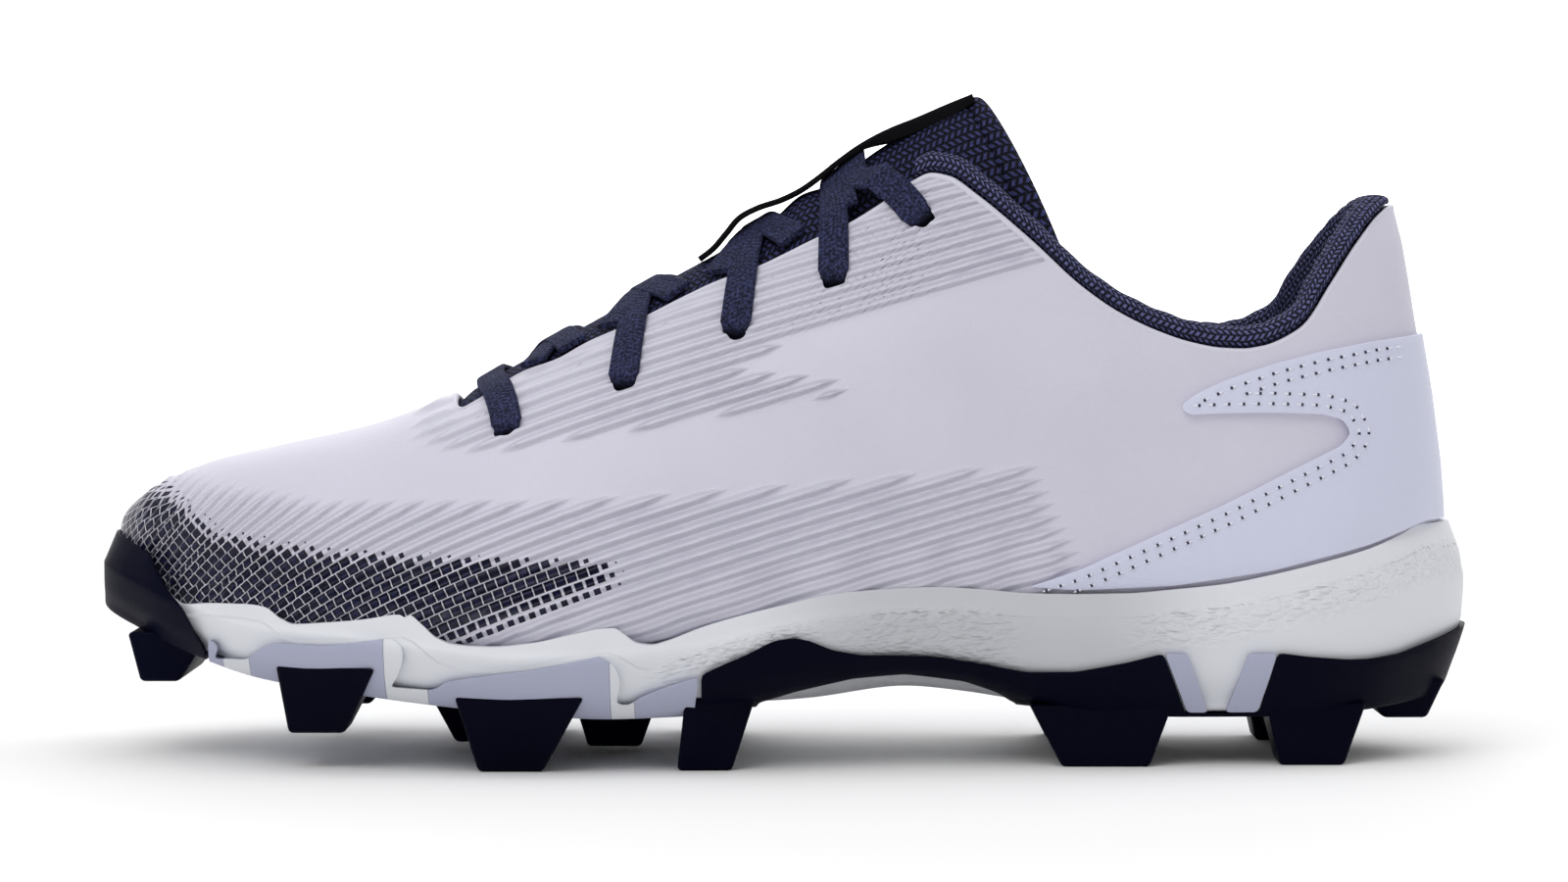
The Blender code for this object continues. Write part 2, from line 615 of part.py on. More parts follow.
def insole_ring(angle):
    inset = WALL + GAP + INSOLE_EASE
    lat, med, mid, low, wide, top, power = last_section(angle, -inset)
    half = (UPPER_HEEL_X - UPPER_TOE_X) / 2 - inset
    x = (UPPER_TOE_X + UPPER_HEEL_X) / 2 - half * np.cos(angle)
    side = [(0.0, low)]
    for rise in (0.12, 0.5, 1.0):
        z = low + INSOLE_THICK * rise
        share = min(1.0, (wide - z) / (wide - low))
        side.append(((1 - share**LOWER_ROUND) ** (1 / LOWER_ROUND), z))
    side.append((0.0, low + INSOLE_THICK))
    points = [(x, mid + (lat - mid) * across, z) for across, z in side]
    points += [(x, mid + (med - mid) * across, z) for across, z in side[-2:0:-1]]
    ring = np.array(points)
    ring[:, 0] = lean(ring[:, 0], ring[:, 2], UPPER_BACK, UPPER_HEEL_X)
    return ring


def build_insole():
    rings = [insole_ring(a) for a in angles(LAST_STATIONS)]
    return loft("insole", rings, "sockliner", capped=False)


# Sole
def build_midsole():
    body = sole_solid("body", 0.0)
    outline = list(RIM) + [(RIM[-1][0], 0.0), (RIM[0][0], 0.0)]
    combine(body, "INTERSECT", prism("rim", outline))
    combine(body, "DIFFERENCE", last_solid("cup", GAP))
    return rename(largest_only(body), "midsole", "foam_white")


def sole_cover(name, outline, thick=PLATE_THICK):
    """A layer that stands on the sole body within an outline seen from the side."""
    cover = sole_solid(name, GAP + thick)
    return combine(cover, "INTERSECT", prism("outline", outline))


def block(name, row, side=None, reach=0.0):
    """A tapered lug. With a side it reaches out past the sole's edge there."""
    top_a, top_b, top_z, low_a, low_b, low_z, low_near, low_far = row
    if side is None:
        near = (low_near - 3.0, low_near - 3.0)
        far = (low_far + 3.0, low_far + 3.0)
        low = (low_near, low_far)
    else:
        far = tuple(abs(sole_y(x, top_z, side)) + reach for x in (top_a, top_b))
        near = (low_near - 5.0, low_near - 5.0)
        low = (low_near, low_far)
    sign = 1.0 if side is None else float(side)
    top = [
        (top_a, sign * near[0], top_z), (top_b, sign * near[1], top_z),
        (top_b, sign * far[1], top_z), (top_a, sign * far[0], top_z),
    ]
    low = [
        (low_a, sign * low[0], low_z), (low_b, sign * low[0], low_z),
        (low_b, sign * low[1], low_z), (low_a, sign * low[1], low_z),
    ]
    return loft(name, [np.array(low), np.array(top)])


def build_outsole():
    inner = sole_solid("inner_sole", GAP)
    # Toe bumper with its stud
    bumper = sole_cover("bumper", BUMPER_OUTLINE, 1.2)
    combine(bumper, "UNION", block("toe_lug", TOE_LUG))
    combine(bumper, "DIFFERENCE", inner, keep=True)
    rename(largest_only(bumper), "toe_bumper", "rubber_navy")
    # Forefoot plate
    plate = sole_cover("plate", FOREFOOT_PLATE_OUTLINE)
    combine(plate, "DIFFERENCE", inner, keep=True)
    rename(largest_only(plate), "forefoot_plate", "rubber_lilac")
    # Rear plate with its six lugs
    rear = sole_cover("rear", REAR_PLATE_OUTLINE)
    for row in REAR_LUGS:
        for side in (-1, 1):
            combine(rear, "UNION", block(row[0], row[1:], side, REAR_LUG_REACH))
    combine(rear, "UNION", block("tail", TAIL_LUG))
    combine(rear, "DIFFERENCE", inner, keep=True)
    rename(largest_only(rear), "rear_outsole", "rubber_navy")
    # Heel bars
    for name, outline in (("front", HEEL_BAR_FRONT), ("back", HEEL_BAR_BACK)):
        for side, label in ((-1, "lateral"), (1, "medial")):
            bar = sole_solid("bar", GAP + PLATE_THICK)
            edges = (-60.0, -20.0) if side < 0 else (20.0, 60.0)
            combine(bar, "INTERSECT", prism("outline", outline, *edges))
            combine(bar, "DIFFERENCE", inner, keep=True)
            rename(largest_only(bar), f"heel_bar_{name}_{label}", "rubber_lilac")
    # Forefoot lugs, standing on the plate
    under = sole_solid("under", GAP * 2 + PLATE_THICK)
    for row in FRONT_LUGS:
        for side, label in ((-1, "lateral"), (1, "medial")):
            lug = block(row[0], row[1:], side, FRONT_LUG_REACH)
            combine(lug, "DIFFERENCE", under, keep=True)
            rename(largest_only(lug), f"{row[0]}_{label}", "rubber_navy")
    for row in MIDDLE_LUGS:
        lug = block(row[0], row[1:])
        combine(lug, "DIFFERENCE", under, keep=True)
        rename(largest_only(lug), row[0], "rubber_navy")
    bpy.data.objects.remove(inner)
    bpy.data.objects.remove(under)


# Heel counter overlay
def build_counter():
    shell = last_solid("shell", GAP + COUNTER_THICK)
    combine(shell, "INTERSECT", prism("outline", COUNTER_OUTLINE))
    combine(shell, "DIFFERENCE", last_solid("core", GAP))
    return rename(largest_only(shell), "heel_counter", "synthetic_lilac")


# Collar roll
def edge_path(count):
    """Points along the collar edge from the eyestay round the heel, with inward directions."""
    turn = np.linspace(0, np.pi / 2, count)
    xs = COLLAR_FROM_X + (COLLAR_BACK_X - COLLAR_FROM_X) * np.sin(turn)
    places = []
    for side, row in ((-1, xs), (1, xs[::-1][1:])):
        for x in row:
            z = float(straight(TOP_LINE, x))
            places.append((x, last_y(x, z, side), z))
    return np.array(places)


def collar_roll(name, grow=0.0):
    path = edge_path(17)
    flat = np.gradient(path[:, :2], axis=0)
    flat /= np.linalg.norm(flat, axis=1)[:, None]
    inward = np.stack((-flat[:, 1], flat[:, 0], np.zeros(len(flat))), axis=1)
    rings = []
    profile = np.array(COLLAR_PROFILE)
    middle = np.array((4.2, -4.0))
    profile = profile + np.sign(profile - middle) * grow
    for place, turn in zip(path, inward):
        ring = place + np.outer(profile[:, 0], turn)
        low = np.interp(place[0], (104.0, 122.0), (1.0, 0.5))
        ring[:, 2] += np.where(profile[:, 1] > 0, profile[:, 1] * low, profile[:, 1])
        rings.append(ring)
    rings[0] = rings[0] - np.append(flat[0], 0.0) * grow
    rings[-1] = rings[-1] + np.append(flat[-1], 0.0) * grow
    return loft(name, rings)


def build_collar():
    roll = collar_roll("roll")
    combine(roll, "DIFFERENCE", upper_keepout("keepout"))
    return rename(largest_only(roll), "collar_lining", "mesh_navy")


# Tongue
def tongue_row(row, share):
    crown_x, crown_z, back, half, thick = row
    x = crown_x + back * abs(share) ** 1.6
    middle = station_curve(LAST_TABLE, 3, angle_of(crown_x, UPPER_TOE_X, UPPER_HEEL_X))
    y = half * share + float(middle)
    under = -WALL - GAP - 0.9
    drop = last_z(crown_x, y, under) - last_z(crown_x, 0.0, under)
    return np.array((x, y, crown_z + drop))


def tongue_rows():
    table = np.array(TONGUE_TABLE)
    shares = np.linspace(-1.0, 1.0, 13)
    return table, np.array([[tongue_row(row, s) for s in shares] for row in table])


def build_tongue():
    table, skin = tongue_rows()
    along = np.gradient(skin, axis=0)
    across = np.gradient(skin, axis=1)
    normal = np.cross(along, across)
    normal /= np.linalg.norm(normal, axis=2)[:, :, None]
    normal *= np.sign(normal[:, :, 2:3])
    rings = []
    for i, row in enumerate(table):
        edge = 1 - 0.55 * np.abs(np.linspace(-1, 1, 13)) ** 4
        low = skin[i] - normal[i] * row[4] * edge[:, None]
        rings.append(np.concatenate((skin[i], low[::-1])))
    tongue = loft("tongue_body", rings)
    combine(tongue, "DIFFERENCE", upper_keepout("keepout"))
    combine(tongue, "DIFFERENCE", collar_roll("collar_room", GAP))
    return rename(largest_only(tongue), "tongue", "mesh_navy")


def tongue_z(x, y):
    table = np.array(TONGUE_TABLE)
    crown = float(np.interp(x, table[:, 0], table[:, 1]))
    under = -WALL - GAP - 0.9
    return crown + last_z(x, y, under) - last_z(x, 0.0, under)


# Laces
def lace_z(x, y):
    over = last_z(x, y, GAP + LACE_THICK / 2 + 0.7)
    near = min(1.0, max(0.0, (17.0 - abs(y)) / 10.0))
    return over + (min(over + 0.8, tongue_z(x, y) + LACE_RISE) - over) * near


def ribbon(name, stops, lift=0.0, width=LACE_WIDTH, thick=LACE_THICK, height=lace_z):
    """A flat strap over the throat through places in plan, on the surface given by height."""
    stops = np.array(stops, float)
    reach = np.concatenate(([0.0], np.cumsum(np.linalg.norm(np.diff(stops, axis=0), axis=1))))
    at = np.linspace(0, reach[-1], 9)
    xs = hermite(reach, stops[:, 0], at)
    ys = hermite(reach, stops[:, 1], at)
    path = np.array([(x, y, height(x, y) + lift) for x, y in zip(xs, ys)])
    along = np.gradient(path, axis=0)
    along /= np.linalg.norm(along, axis=1)[:, None]
    rings = []
    for place, run in zip(path, along):
        x, y, z = place
        slope_x = height(x + 0.5, y) - height(x - 0.5, y)
        slope_y = height(x, y + 0.5) - height(x, y - 0.5)
        normal = np.array((-slope_x, -slope_y, 1.0))
        normal -= run * normal.dot(run)
        normal /= np.linalg.norm(normal)
        side = np.cross(run, normal)
        a = side * width / 2
        b = normal * thick / 2
        rings.append(np.array((place - a - b, place + a - b, place + a + b, place - a + b)))
    return loft(name, rings)


def throat_y(x, side):
    z = float(straight(TOP_LINE, x))
    return last_y(x, z, side) * 0.88


def lace_across(first, crown, last, lift):
    """A lace that rises from under one edge of the throat and dives under the other."""
    stops = ((first, throat_y(first, -1)), (crown, 0.0), (last, throat_y(last, 1)))
    return ribbon("bar", stops, lift)


def build_laces():
    edge_bars = {row[0]: row[1:] for row in EDGE_BARS}
    for index, (x, z, crown, dive) in enumerate(EYELETS):
        name = f"lace_row_{index + 1}"
        near = last_y(x, z, -1)
        far = last_y(x, z, 1)
        if dive is None:
            stops = [(x, near), (crown, 0.0), (x, far)]
            if index == len(EYELETS) - 1:
                stops[1:1] = [(x - 4.6, near + 1.6), (crown + 1.5, -14.0)]
                stops[-1:-1] = [(crown + 1.5, 13.0), (x - 4.6, far - 1.6)]
            lace = ribbon("bar", stops, 0.0)
        else:
            lace = ribbon("bar", ((x, near), (crown, 0.0), (dive, throat_y(dive, 1))))
            other = ribbon("bar", ((x, far), (crown, 0.0), (dive, throat_y(dive, -1))), 0.65)
            combine(lace, "UNION", other)
        if name in edge_bars:
            combine(lace, "UNION", lace_across(*edge_bars[name], 0.27))
        rename(lace, name, "lace_navy")
    first, crown, last = CROSS_BAR
    lace = lace_across(first, crown, last, -0.7)
    combine(lace, "UNION", lace_across(last, crown, first, -0.1))
    rename(lace, "lace_cross_1", "lace_navy")


def build_strap():
    rows = np.array(STRAP_TABLE)
    run = np.gradient(rows, axis=0)
    run /= np.linalg.norm(run, axis=1)[:, None]
    rings = []
    for (x, z), (along_x, along_z) in zip(rows, run):
        up = np.array((-along_z, 0.0, along_x)) * STRAP_THICK / 2
        place = np.array((x, 0.6, z))
        side = np.array((0.0, STRAP_WIDTH / 2, 0.0))
        low = (place - side - up, place + side - up)
        rings.append(np.array((*low, place + side + up, place - side + up)))
    return rename(loft("strap", rings), "tongue_strap", "webbing_black")


for old in list(bpy.data.objects):
    bpy.data.objects.remove(old)
SHOE = bpy.data.collections.new("baseball_cleat")
bpy.context.scene.collection.children.link(SHOE)

build_upper()
build_insole()
build_midsole()
build_outsole()
build_counter()
build_collar()
build_tongue()
build_laces()
build_strap()
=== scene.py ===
import math

import bmesh
import bpy
import numpy as np
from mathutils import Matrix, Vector


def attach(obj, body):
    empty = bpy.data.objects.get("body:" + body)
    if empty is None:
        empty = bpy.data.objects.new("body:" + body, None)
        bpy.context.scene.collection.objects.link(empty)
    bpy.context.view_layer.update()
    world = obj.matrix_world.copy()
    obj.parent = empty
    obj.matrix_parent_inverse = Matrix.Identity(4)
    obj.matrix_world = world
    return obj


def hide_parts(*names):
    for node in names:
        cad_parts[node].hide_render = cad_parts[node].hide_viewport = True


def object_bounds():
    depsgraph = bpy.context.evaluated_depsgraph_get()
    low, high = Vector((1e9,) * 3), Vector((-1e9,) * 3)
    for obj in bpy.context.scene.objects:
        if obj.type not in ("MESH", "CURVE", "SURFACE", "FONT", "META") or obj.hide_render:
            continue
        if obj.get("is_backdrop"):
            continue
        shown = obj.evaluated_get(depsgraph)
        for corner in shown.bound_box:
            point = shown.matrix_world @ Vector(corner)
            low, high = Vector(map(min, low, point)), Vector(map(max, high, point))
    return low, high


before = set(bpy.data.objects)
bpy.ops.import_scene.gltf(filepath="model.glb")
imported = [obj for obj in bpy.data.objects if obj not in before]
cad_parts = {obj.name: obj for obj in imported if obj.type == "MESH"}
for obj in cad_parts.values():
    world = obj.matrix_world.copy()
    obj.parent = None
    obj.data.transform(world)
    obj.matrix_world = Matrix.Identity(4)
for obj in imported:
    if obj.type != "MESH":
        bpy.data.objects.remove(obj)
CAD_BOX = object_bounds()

bl_info = {
    "name": "Baseball cleat looks",
    "version": (1, 0, 0),
    "blender": (4, 5, 0),
    "location": "3D View > Sidebar > Cleat",
    "description": "Finished surfaces, laces, stitching and stage for a moulded baseball cleat",
    "category": "Object",
}

MM = 0.001
WALL = 2.2
GAP = 0.3
OVERLAY_THICK = 0.9
BUMPER_THICK = 1.2
FOREFOOT_THICK = 1.3
REAR_THICK = 0.9
BAR_THICK = 0.95
# How far the cutters for the rubber layers stand off the sole body
CUT_GROW = 0.06
# How far under the last's surface the tongue follows it
TONGUE_UNDER = -WALL - GAP - 0.9
LEAN_FROM_X = 70.0
LOWER_ROUND = 3.0

# Last, from toe to heel
# x, lateral y, medial y, crown y, bottom z, widest z, crown z, roundness
LAST_TABLE = np.array((
    (-139.2, 6.0, 6.0, 6.0, 34.0, 40.0, 46.0, 2.2),
    (-130.0, -14.0, 25.0, 5.5, 29.5, 39.0, 55.9, 2.2),
    (-120.0, -25.0, 33.5, 5.0, 26.5, 37.5, 60.3, 2.2),
    (-105.0, -35.5, 40.0, 4.0, 23.5, 35.5, 63.9, 2.1),
    (-85.0, -43.5, 44.0, 3.0, 20.5, 34.0, 68.5, 1.95),
    (-69.4, -46.3, 45.3, 2.5, 19.0, 33.5, 74.4, 1.8),
    (-55.0, -47.4, 45.0, 2.0, 18.2, 33.5, 81.8, 1.75),
    (-40.0, -47.4, 43.3, 1.5, 18.0, 34.5, 89.9, 1.75),
    (-20.0, -45.4, 39.5, 1.0, 19.2, 38.0, 101.0, 1.75),
    (0.0, -42.0, 35.8, 0.5, 21.8, 42.0, 113.0, 1.75),
    (15.0, -39.8, 33.6, 0.0, 24.0, 44.0, 126.0, 1.75),
    (30.0, -38.0, 32.2, 0.0, 25.6, 46.0, 142.0, 1.75),
    (45.0, -36.6, 31.6, 0.0, 26.0, 47.0, 151.0, 1.75),
    (65.0, -35.4, 32.0, 0.0, 25.5, 49.0, 155.0, 1.75),
    (90.0, -34.2, 32.6, 0.0, 25.0, 50.0, 153.0, 1.75),
    (110.0, -31.0, 30.4, 0.0, 25.0, 51.0, 152.0, 1.75),
    (125.0, -23.2, 23.2, 0.0, 26.0, 52.0, 151.0, 1.75),
    (137.0, 0.0, 0.0, 0.0, 28.0, 52.0, 150.0, 1.75),
))
TOE_X = LAST_TABLE[0, 0]
HEEL_X = LAST_TABLE[-1, 0]
# z, x
UPPER_BACK = np.array((
    (10.0, 134.0), (30.0, 135.6), (47.0, 137.0), (61.0, 136.0), (75.0, 134.2),
    (88.0, 132.0), (98.0, 130.4), (106.0, 129.0), (113.0, 127.2), (125.0, 124.0), (160.0, 112.0),
))
# Sole body
# x, lateral y, medial y, middle y, underside z, keel
SOLE_TABLE = np.array((
    (-141.0, 6.0, 6.0, 6.0, 33.0, 0.0),
    (-133.0, -13.5, 26.0, 6.0, 28.5, 0.0),
    (-125.0, -23.0, 33.5, 5.0, 25.2, 0.0),
    (-117.0, -29.8, 38.2, 5.0, 22.6, 0.0),
    (-105.0, -38.0, 43.0, 4.0, 19.4, 0.0),
    (-85.0, -45.8, 47.4, 3.0, 16.6, 0.0),
    (-68.0, -49.2, 48.8, 2.0, 14.6, 0.0),
    (-50.0, -50.0, 48.0, 2.0, 12.8, 0.0),
    (-35.0, -49.4, 45.4, 1.0, 12.0, 0.0),
    (-20.0, -47.4, 41.8, 1.0, 12.4, 0.5),
    (-5.0, -44.6, 38.4, 0.0, 15.0, 3.4),
    (10.0, -42.0, 35.8, 0.0, 18.0, 5.4),
    (25.0, -39.8, 34.2, 0.0, 19.8, 5.4),
    (38.0, -38.2, 33.8, 0.0, 18.2, 5.0),
    (50.0, -37.2, 33.9, 0.0, 14.6, 3.0),
    (65.0, -36.6, 34.4, 0.0, 11.4, 0.0),
    (85.0, -36.0, 34.9, 0.0, 11.0, 0.0),
    (105.0, -34.4, 33.9, 0.0, 11.0, 0.0),
    (120.0, -29.6, 29.5, 0.0, 11.6, 0.0),
    (132.0, -20.2, 20.2, 0.0, 12.6, 0.0),
    (142.2, 0.0, 0.0, 0.0, 15.0, 0.0),
))
# z, x
SOLE_BACK = np.array((
    (0.0, 131.0), (10.0, 134.6), (15.0, 137.4), (22.0, 139.8), (28.0, 141.6),
    (36.0, 142.2), (42.0, 141.2), (48.0, 139.0), (56.0, 136.0),
))
# x, z
RIM = np.array((
    (-146.0, 44.0), (-136.0, 44.0), (-131.0, 40.3), (-127.0, 36.0), (-124.0, 33.2),
    (-122.1, 32.4), (-116.2, 33.0), (-108.3, 33.2), (-104.4, 32.8), (-100.8, 30.6),
    (-97.8, 29.6), (-91.7, 30.1), (-83.7, 30.9), (-77.7, 31.9), (-74.7, 32.0),
    (-71.8, 30.0), (-68.8, 27.4), (-64.9, 26.1), (-58.1, 25.7), (-50.2, 26.4),
    (-42.5, 28.0), (-36.7, 29.2), (-33.8, 29.4), (-31.8, 28.3), (-29.0, 26.4),
    (-26.1, 26.0), (-23.2, 26.7), (-15.4, 29.6), (-7.6, 31.8), (0.2, 33.6),
    (10.0, 35.7), (19.8, 36.5), (29.6, 36.9), (39.5, 36.4), (49.4, 35.5),
    (59.3, 35.3), (69.1, 35.4), (79.0, 36.2), (88.8, 37.2), (98.8, 39.1),
    (108.8, 41.4), (119.2, 44.1), (126.2, 46.6), (131.6, 48.4), (146.0, 48.4),
))
# x, z
TOP_LINE = np.array((
    (-68.6, 74.6), (-67.6, 72.2), (-66.0, 71.8), (-61.1, 74.3),
    (-53.3, 79.2), (-46.2, 81.8), (-40.1, 85.2), (-30.1, 89.6), (-20.0, 94.7),
    (-12.9, 98.0), (-5.4, 100.6), (0.2, 103.2), (6.2, 106.2), (12.9, 109.2),
    (19.9, 113.4), (26.3, 118.0), (30.3, 119.8), (33.6, 119.2), (40.1, 114.6),
    (49.9, 106.2), (59.7, 97.1), (67.6, 91.6), (75.5, 87.8), (82.0, 85.6),
    (88.3, 84.4), (93.0, 84.2), (97.4, 84.8), (105.5, 88.7), (112.0, 97.6),
    (117.7, 105.6), (122.8, 111.3), (126.0, 113.4), (127.2, 113.6),
))
# Outlines seen from the side
# x, z
BUMPER = (
    (-146.0, 45.4), (-138.4, 46.2), (-134.6, 45.2), (-131.6, 42.9), (-128.2, 39.1),
    (-125.7, 35.1), (-122.3, 31.9), (-120.4, 28.4), (-118.2, 24.6), (-117.4, 21.6),
    (-120.0, 17.0), (-146.0, 17.0),
)
FOREFOOT = (
    (-116.4, 25.8), (-114.2, 24.4), (-115.6, 21.6), (-108.5, 21.8), (-105.0, 24.6),
    (-102.2, 25.7), (-97.7, 25.7), (-91.6, 25.5), (-83.6, 26.7), (-77.7, 27.5),
    (-75.5, 25.8), (-75.5, 22.8), (-77.0, 19.2), (-78.5, 17.3), (-69.8, 16.8),
    (-66.8, 18.8), (-61.9, 19.6), (-56.1, 20.4), (-50.2, 21.2), (-44.4, 22.1),
    (-38.6, 23.5), (-36.3, 24.1), (-33.2, 21.8), (-32.2, 18.6), (-33.3, 14.1),
    (-30.9, 13.7), (-28.0, 15.7), (-23.2, 17.6), (-16.8, 19.6), (-18.6, 6.0),
    (-118.0, 6.0), (-117.0, 20.0),
)
REAR = (
    (-16.3, 19.9), (-11.5, 22.1), (-7.6, 23.7), (-1.8, 26.6), (2.1, 27.1),
    (5.1, 26.5), (10.0, 24.4), (15.9, 23.2), (23.7, 23.0), (31.6, 22.6),
    (39.5, 21.2), (49.3, 19.4), (59.2, 19.6), (69.1, 21.4), (76.6, 23.3),
    (81.6, 10.6), (96.5, 10.6), (99.9, 23.3), (106.6, 22.4), (114.8, 21.6),
    (119.0, 21.6), (125.8, 22.3), (132.8, 24.3), (138.3, 25.8), (147.0, 28.2),
    (147.0, 2.0), (49.4, 2.0), (48.0, 11.4), (43.6, 14.6), (36.6, 17.2),
    (24.6, 18.8), (14.0, 18.1), (2.2, 15.4), (-5.0, 13.0), (-8.0, 2.0), (-16.3, 2.0),
)
HEEL_BARS = (
    ("heel_bar_front", ((76.9, 23.3), (81.4, 23.3), (86.1, 10.9), (81.9, 10.9))),
    ("heel_bar_back", ((93.9, 23.3), (99.6, 23.3), (96.2, 10.9), (89.7, 10.9))),
)
COUNTER = (
    (140.0, 87.9), (131.6, 87.2), (120.5, 86.0), (109.5, 84.1), (99.2, 81.6),
    (89.2, 78.3), (83.2, 75.5), (80.6, 73.6), (80.4, 72.4), (81.8, 71.4),
    (89.0, 71.7), (98.9, 71.8), (108.9, 71.4), (113.4, 70.2), (115.0, 67.4),
    (113.0, 65.0), (102.9, 60.2), (88.9, 53.3), (75.1, 47.1), (59.3, 40.0),
    (49.6, 36.8), (59.3, 36.0), (79.0, 36.9), (98.8, 39.9), (119.2, 44.9),
    (131.6, 49.2), (140.0, 49.2),
)
# top x front, top x back, top z, low x front, low x back, low z, low y near, low y far
SIDE_LUGS = {
    "lug_front": (-102.0, -81.2, 21.3, -99.7, -88.4, 7.2, 24.0, 36.0),
    "lug_ball": (-65.6, -39.6, 15.6, -61.1, -48.2, 0.0, 28.0, 41.5),
    "waist": (-19.6, -5.4, 15.0, -21.3, -10.3, 0.0, 28.0, 39.5),
    "heel_front": (50.0, 79.0, 12.6, 56.5, 74.2, 0.0, 21.0, 32.5),
    "heel_back": (98.0, 119.0, 12.6, 100.9, 114.0, 0.0, 18.0, 29.5),
}
MIDDLE_LUGS = {
    "lug_middle_front": (-75.0, -49.0, 16.0, -68.0, -54.0, 2.4, -8.0, 12.0),
    "lug_middle_back": (-44.0, -25.0, 14.0, -40.5, -29.5, 1.6, -9.0, 9.0),
    "toe": (-134.8, -117.6, 26.0, -132.6, -124.6, 15.6, -14.0, 22.0),
    "tail": (118.0, 137.0, 16.0, 124.5, 133.6, 7.6, -9.0, 9.0),
}
# x, z, crown x, dive x
EYELETS = (
    (-56.1, 68.3, -61.0, None),
    (-32.3, 78.1, -28.6, -21.8),
    (-9.6, 88.6, -5.2, 2.0),
    (10.2, 99.0, 10.6, 12.4),
    (28.1, 111.2, 17.2, None),
)
# Laces that go under the throat's edge, by lace row
# first x, crown x, last x
EDGE_BARS = {2: (-35.6, -29.6, -35.6), 3: (-13.4, -6.2, -13.4)}
CROSS_BAR = (-51.5, -47.0, -43.4)
# crown x, crown z, wing set back, half width, thickness
TONGUE_TABLE = np.array((
    (-72.0, 69.6, 0.0, 12.0, 2.4),
    (-64.0, 74.2, 0.0, 17.0, 3.0),
    (-54.0, 80.0, 0.0, 20.5, 3.8),
    (-40.0, 87.9, 0.0, 23.0, 4.6),
    (-25.0, 96.2, 0.0, 24.0, 4.6),
    (-10.0, 104.4, 0.5, 24.5, 4.6),
    (0.0, 110.2, 1.5, 24.5, 4.6),
    (10.0, 116.6, 3.0, 24.5, 4.6),
    (20.0, 124.4, 5.0, 24.0, 4.6),
    (30.0, 131.0, 9.5, 23.2, 4.6),
    (36.0, 134.0, 12.5, 22.6, 4.6),
    (41.4, 136.2, 15.5, 22.2, 4.0),
))
# x, z
STRAP = (
    (-17.4, 102.6), (-14.6, 104.8), (-12.0, 107.8), (-9.0, 111.3), (-5.0, 113.4),
    (-0.5, 114.9), (3.6, 116.9), (7.6, 119.7), (11.5, 122.8), (16.5, 126.3),
    (22.0, 129.2), (28.0, 131.6), (34.0, 134.2), (39.4, 136.4),
)
# inward, up
COLLAR_PROFILE = (
    (3.0, -13.0), (2.7, -5.0), (2.6, 0.2), (1.6, 1.0), (0.9, 1.9), (1.0, 3.2), (2.0, 4.4),
    (4.0, 4.9), (6.0, 4.3), (7.2, 2.6), (7.6, 0.0), (7.4, -4.0), (6.8, -9.0), (6.0, -13.0),
)
COLLAR_FROM_X = 27.0
# across, up
STRAP_SECTION = (
    (-5.5, 0), (-5.3, 0.5), (-4.0, 0.6), (4.0, 0.6), (5.3, 0.5),
    (5.5, 0), (5.3, -0.5), (4.0, -0.6), (-4.0, -0.6), (-5.3, -0.5),
)
# across as a share of half the width, up as a share of half the thickness
LACE_SECTION = (
    (-1, 0), (-0.93, 0.8), (-0.6, 1.0), (0.6, 1.0), (0.93, 0.8), (1, 0),
    (0.93, -0.8), (0.6, -1.0), (-0.6, -1.0), (-0.93, -0.8), (-1, 0),
)
LACE_HALF_THICK = 0.62


# Curves and surfaces
def hermite(xs, ys, at):
    xs = np.asarray(xs, float)
    ys = np.asarray(ys, float)
    step = np.diff(xs)
    slope = np.diff(ys) / step
    tangent = np.zeros(len(xs))
    tangent[0] = slope[0]
    tangent[-1] = slope[-1]
    both = slope[:-1] * slope[1:] > 0
    one = 2 * step[1:] + step[:-1]
    two = step[1:] + 2 * step[:-1]
    safe = np.where(both, slope[:-1], 1.0)
    safe_next = np.where(both, slope[1:], 1.0)
    tangent[1:-1] = np.where(both, (one + two) / (one / safe + two / safe_next), 0.0)
    at = np.clip(np.asarray(at, float), xs[0], xs[-1])
    i = np.clip(np.searchsorted(xs, at, side="right") - 1, 0, len(xs) - 2)
    t = (at - xs[i]) / step[i]
    return (
        (2 * t**3 - 3 * t**2 + 1) * ys[i]
        + (t**3 - 2 * t**2 + t) * step[i] * tangent[i]
        + (3 * t**2 - 2 * t**3) * ys[i + 1]
        + (t**3 - t**2) * step[i] * tangent[i + 1]
    )


def fine_line(points, steps):
    """A smooth line through points."""
    points = np.asarray(points, float)
    at = np.arange(len(points), dtype=float)
    fine = np.linspace(0, len(points) - 1, steps)
    return np.stack((hermite(at, points[:, 0], fine), hermite(at, points[:, 1], fine)), 1)


def angle_of(x, first, last):
    share = np.clip((np.asarray(x, float) - first) / (last - first), 0.0, 1.0)
    return np.arccos(1 - 2 * share)


def columns(table, angle):
    angles = angle_of(table[:, 0], table[0, 0], table[-1, 0])
    return [hermite(angles, table[:, i], angle) for i in range(1, table.shape[1])]


def lean_reach(z, back, longest):
    return (np.interp(z, back[:, 0], back[:, 1]) - LEAN_FROM_X) / (longest - LEAN_FROM_X)


def lean(x, z, back, longest):
    """Pulls the rear in so that it ends on the heel's outline at every height."""
    reach = lean_reach(z, back, longest)
    return np.where(x > LEAN_FROM_X, LEAN_FROM_X + (x - LEAN_FROM_X) * reach, x)


def unlean(x, z, back, longest):
    reach = lean_reach(z, back, longest)
    return np.where(x > LEAN_FROM_X, LEAN_FROM_X + (x - LEAN_FROM_X) / reach, x)


def last_section(angle, grow):
    lat, med, mid, low, wide, top, power = columns(LAST_TABLE, angle)
    spread = grow * np.minimum(1.0, np.sin(angle) * 8.0)
    return lat - spread, med + spread, mid, low - grow, wide, top + grow, power


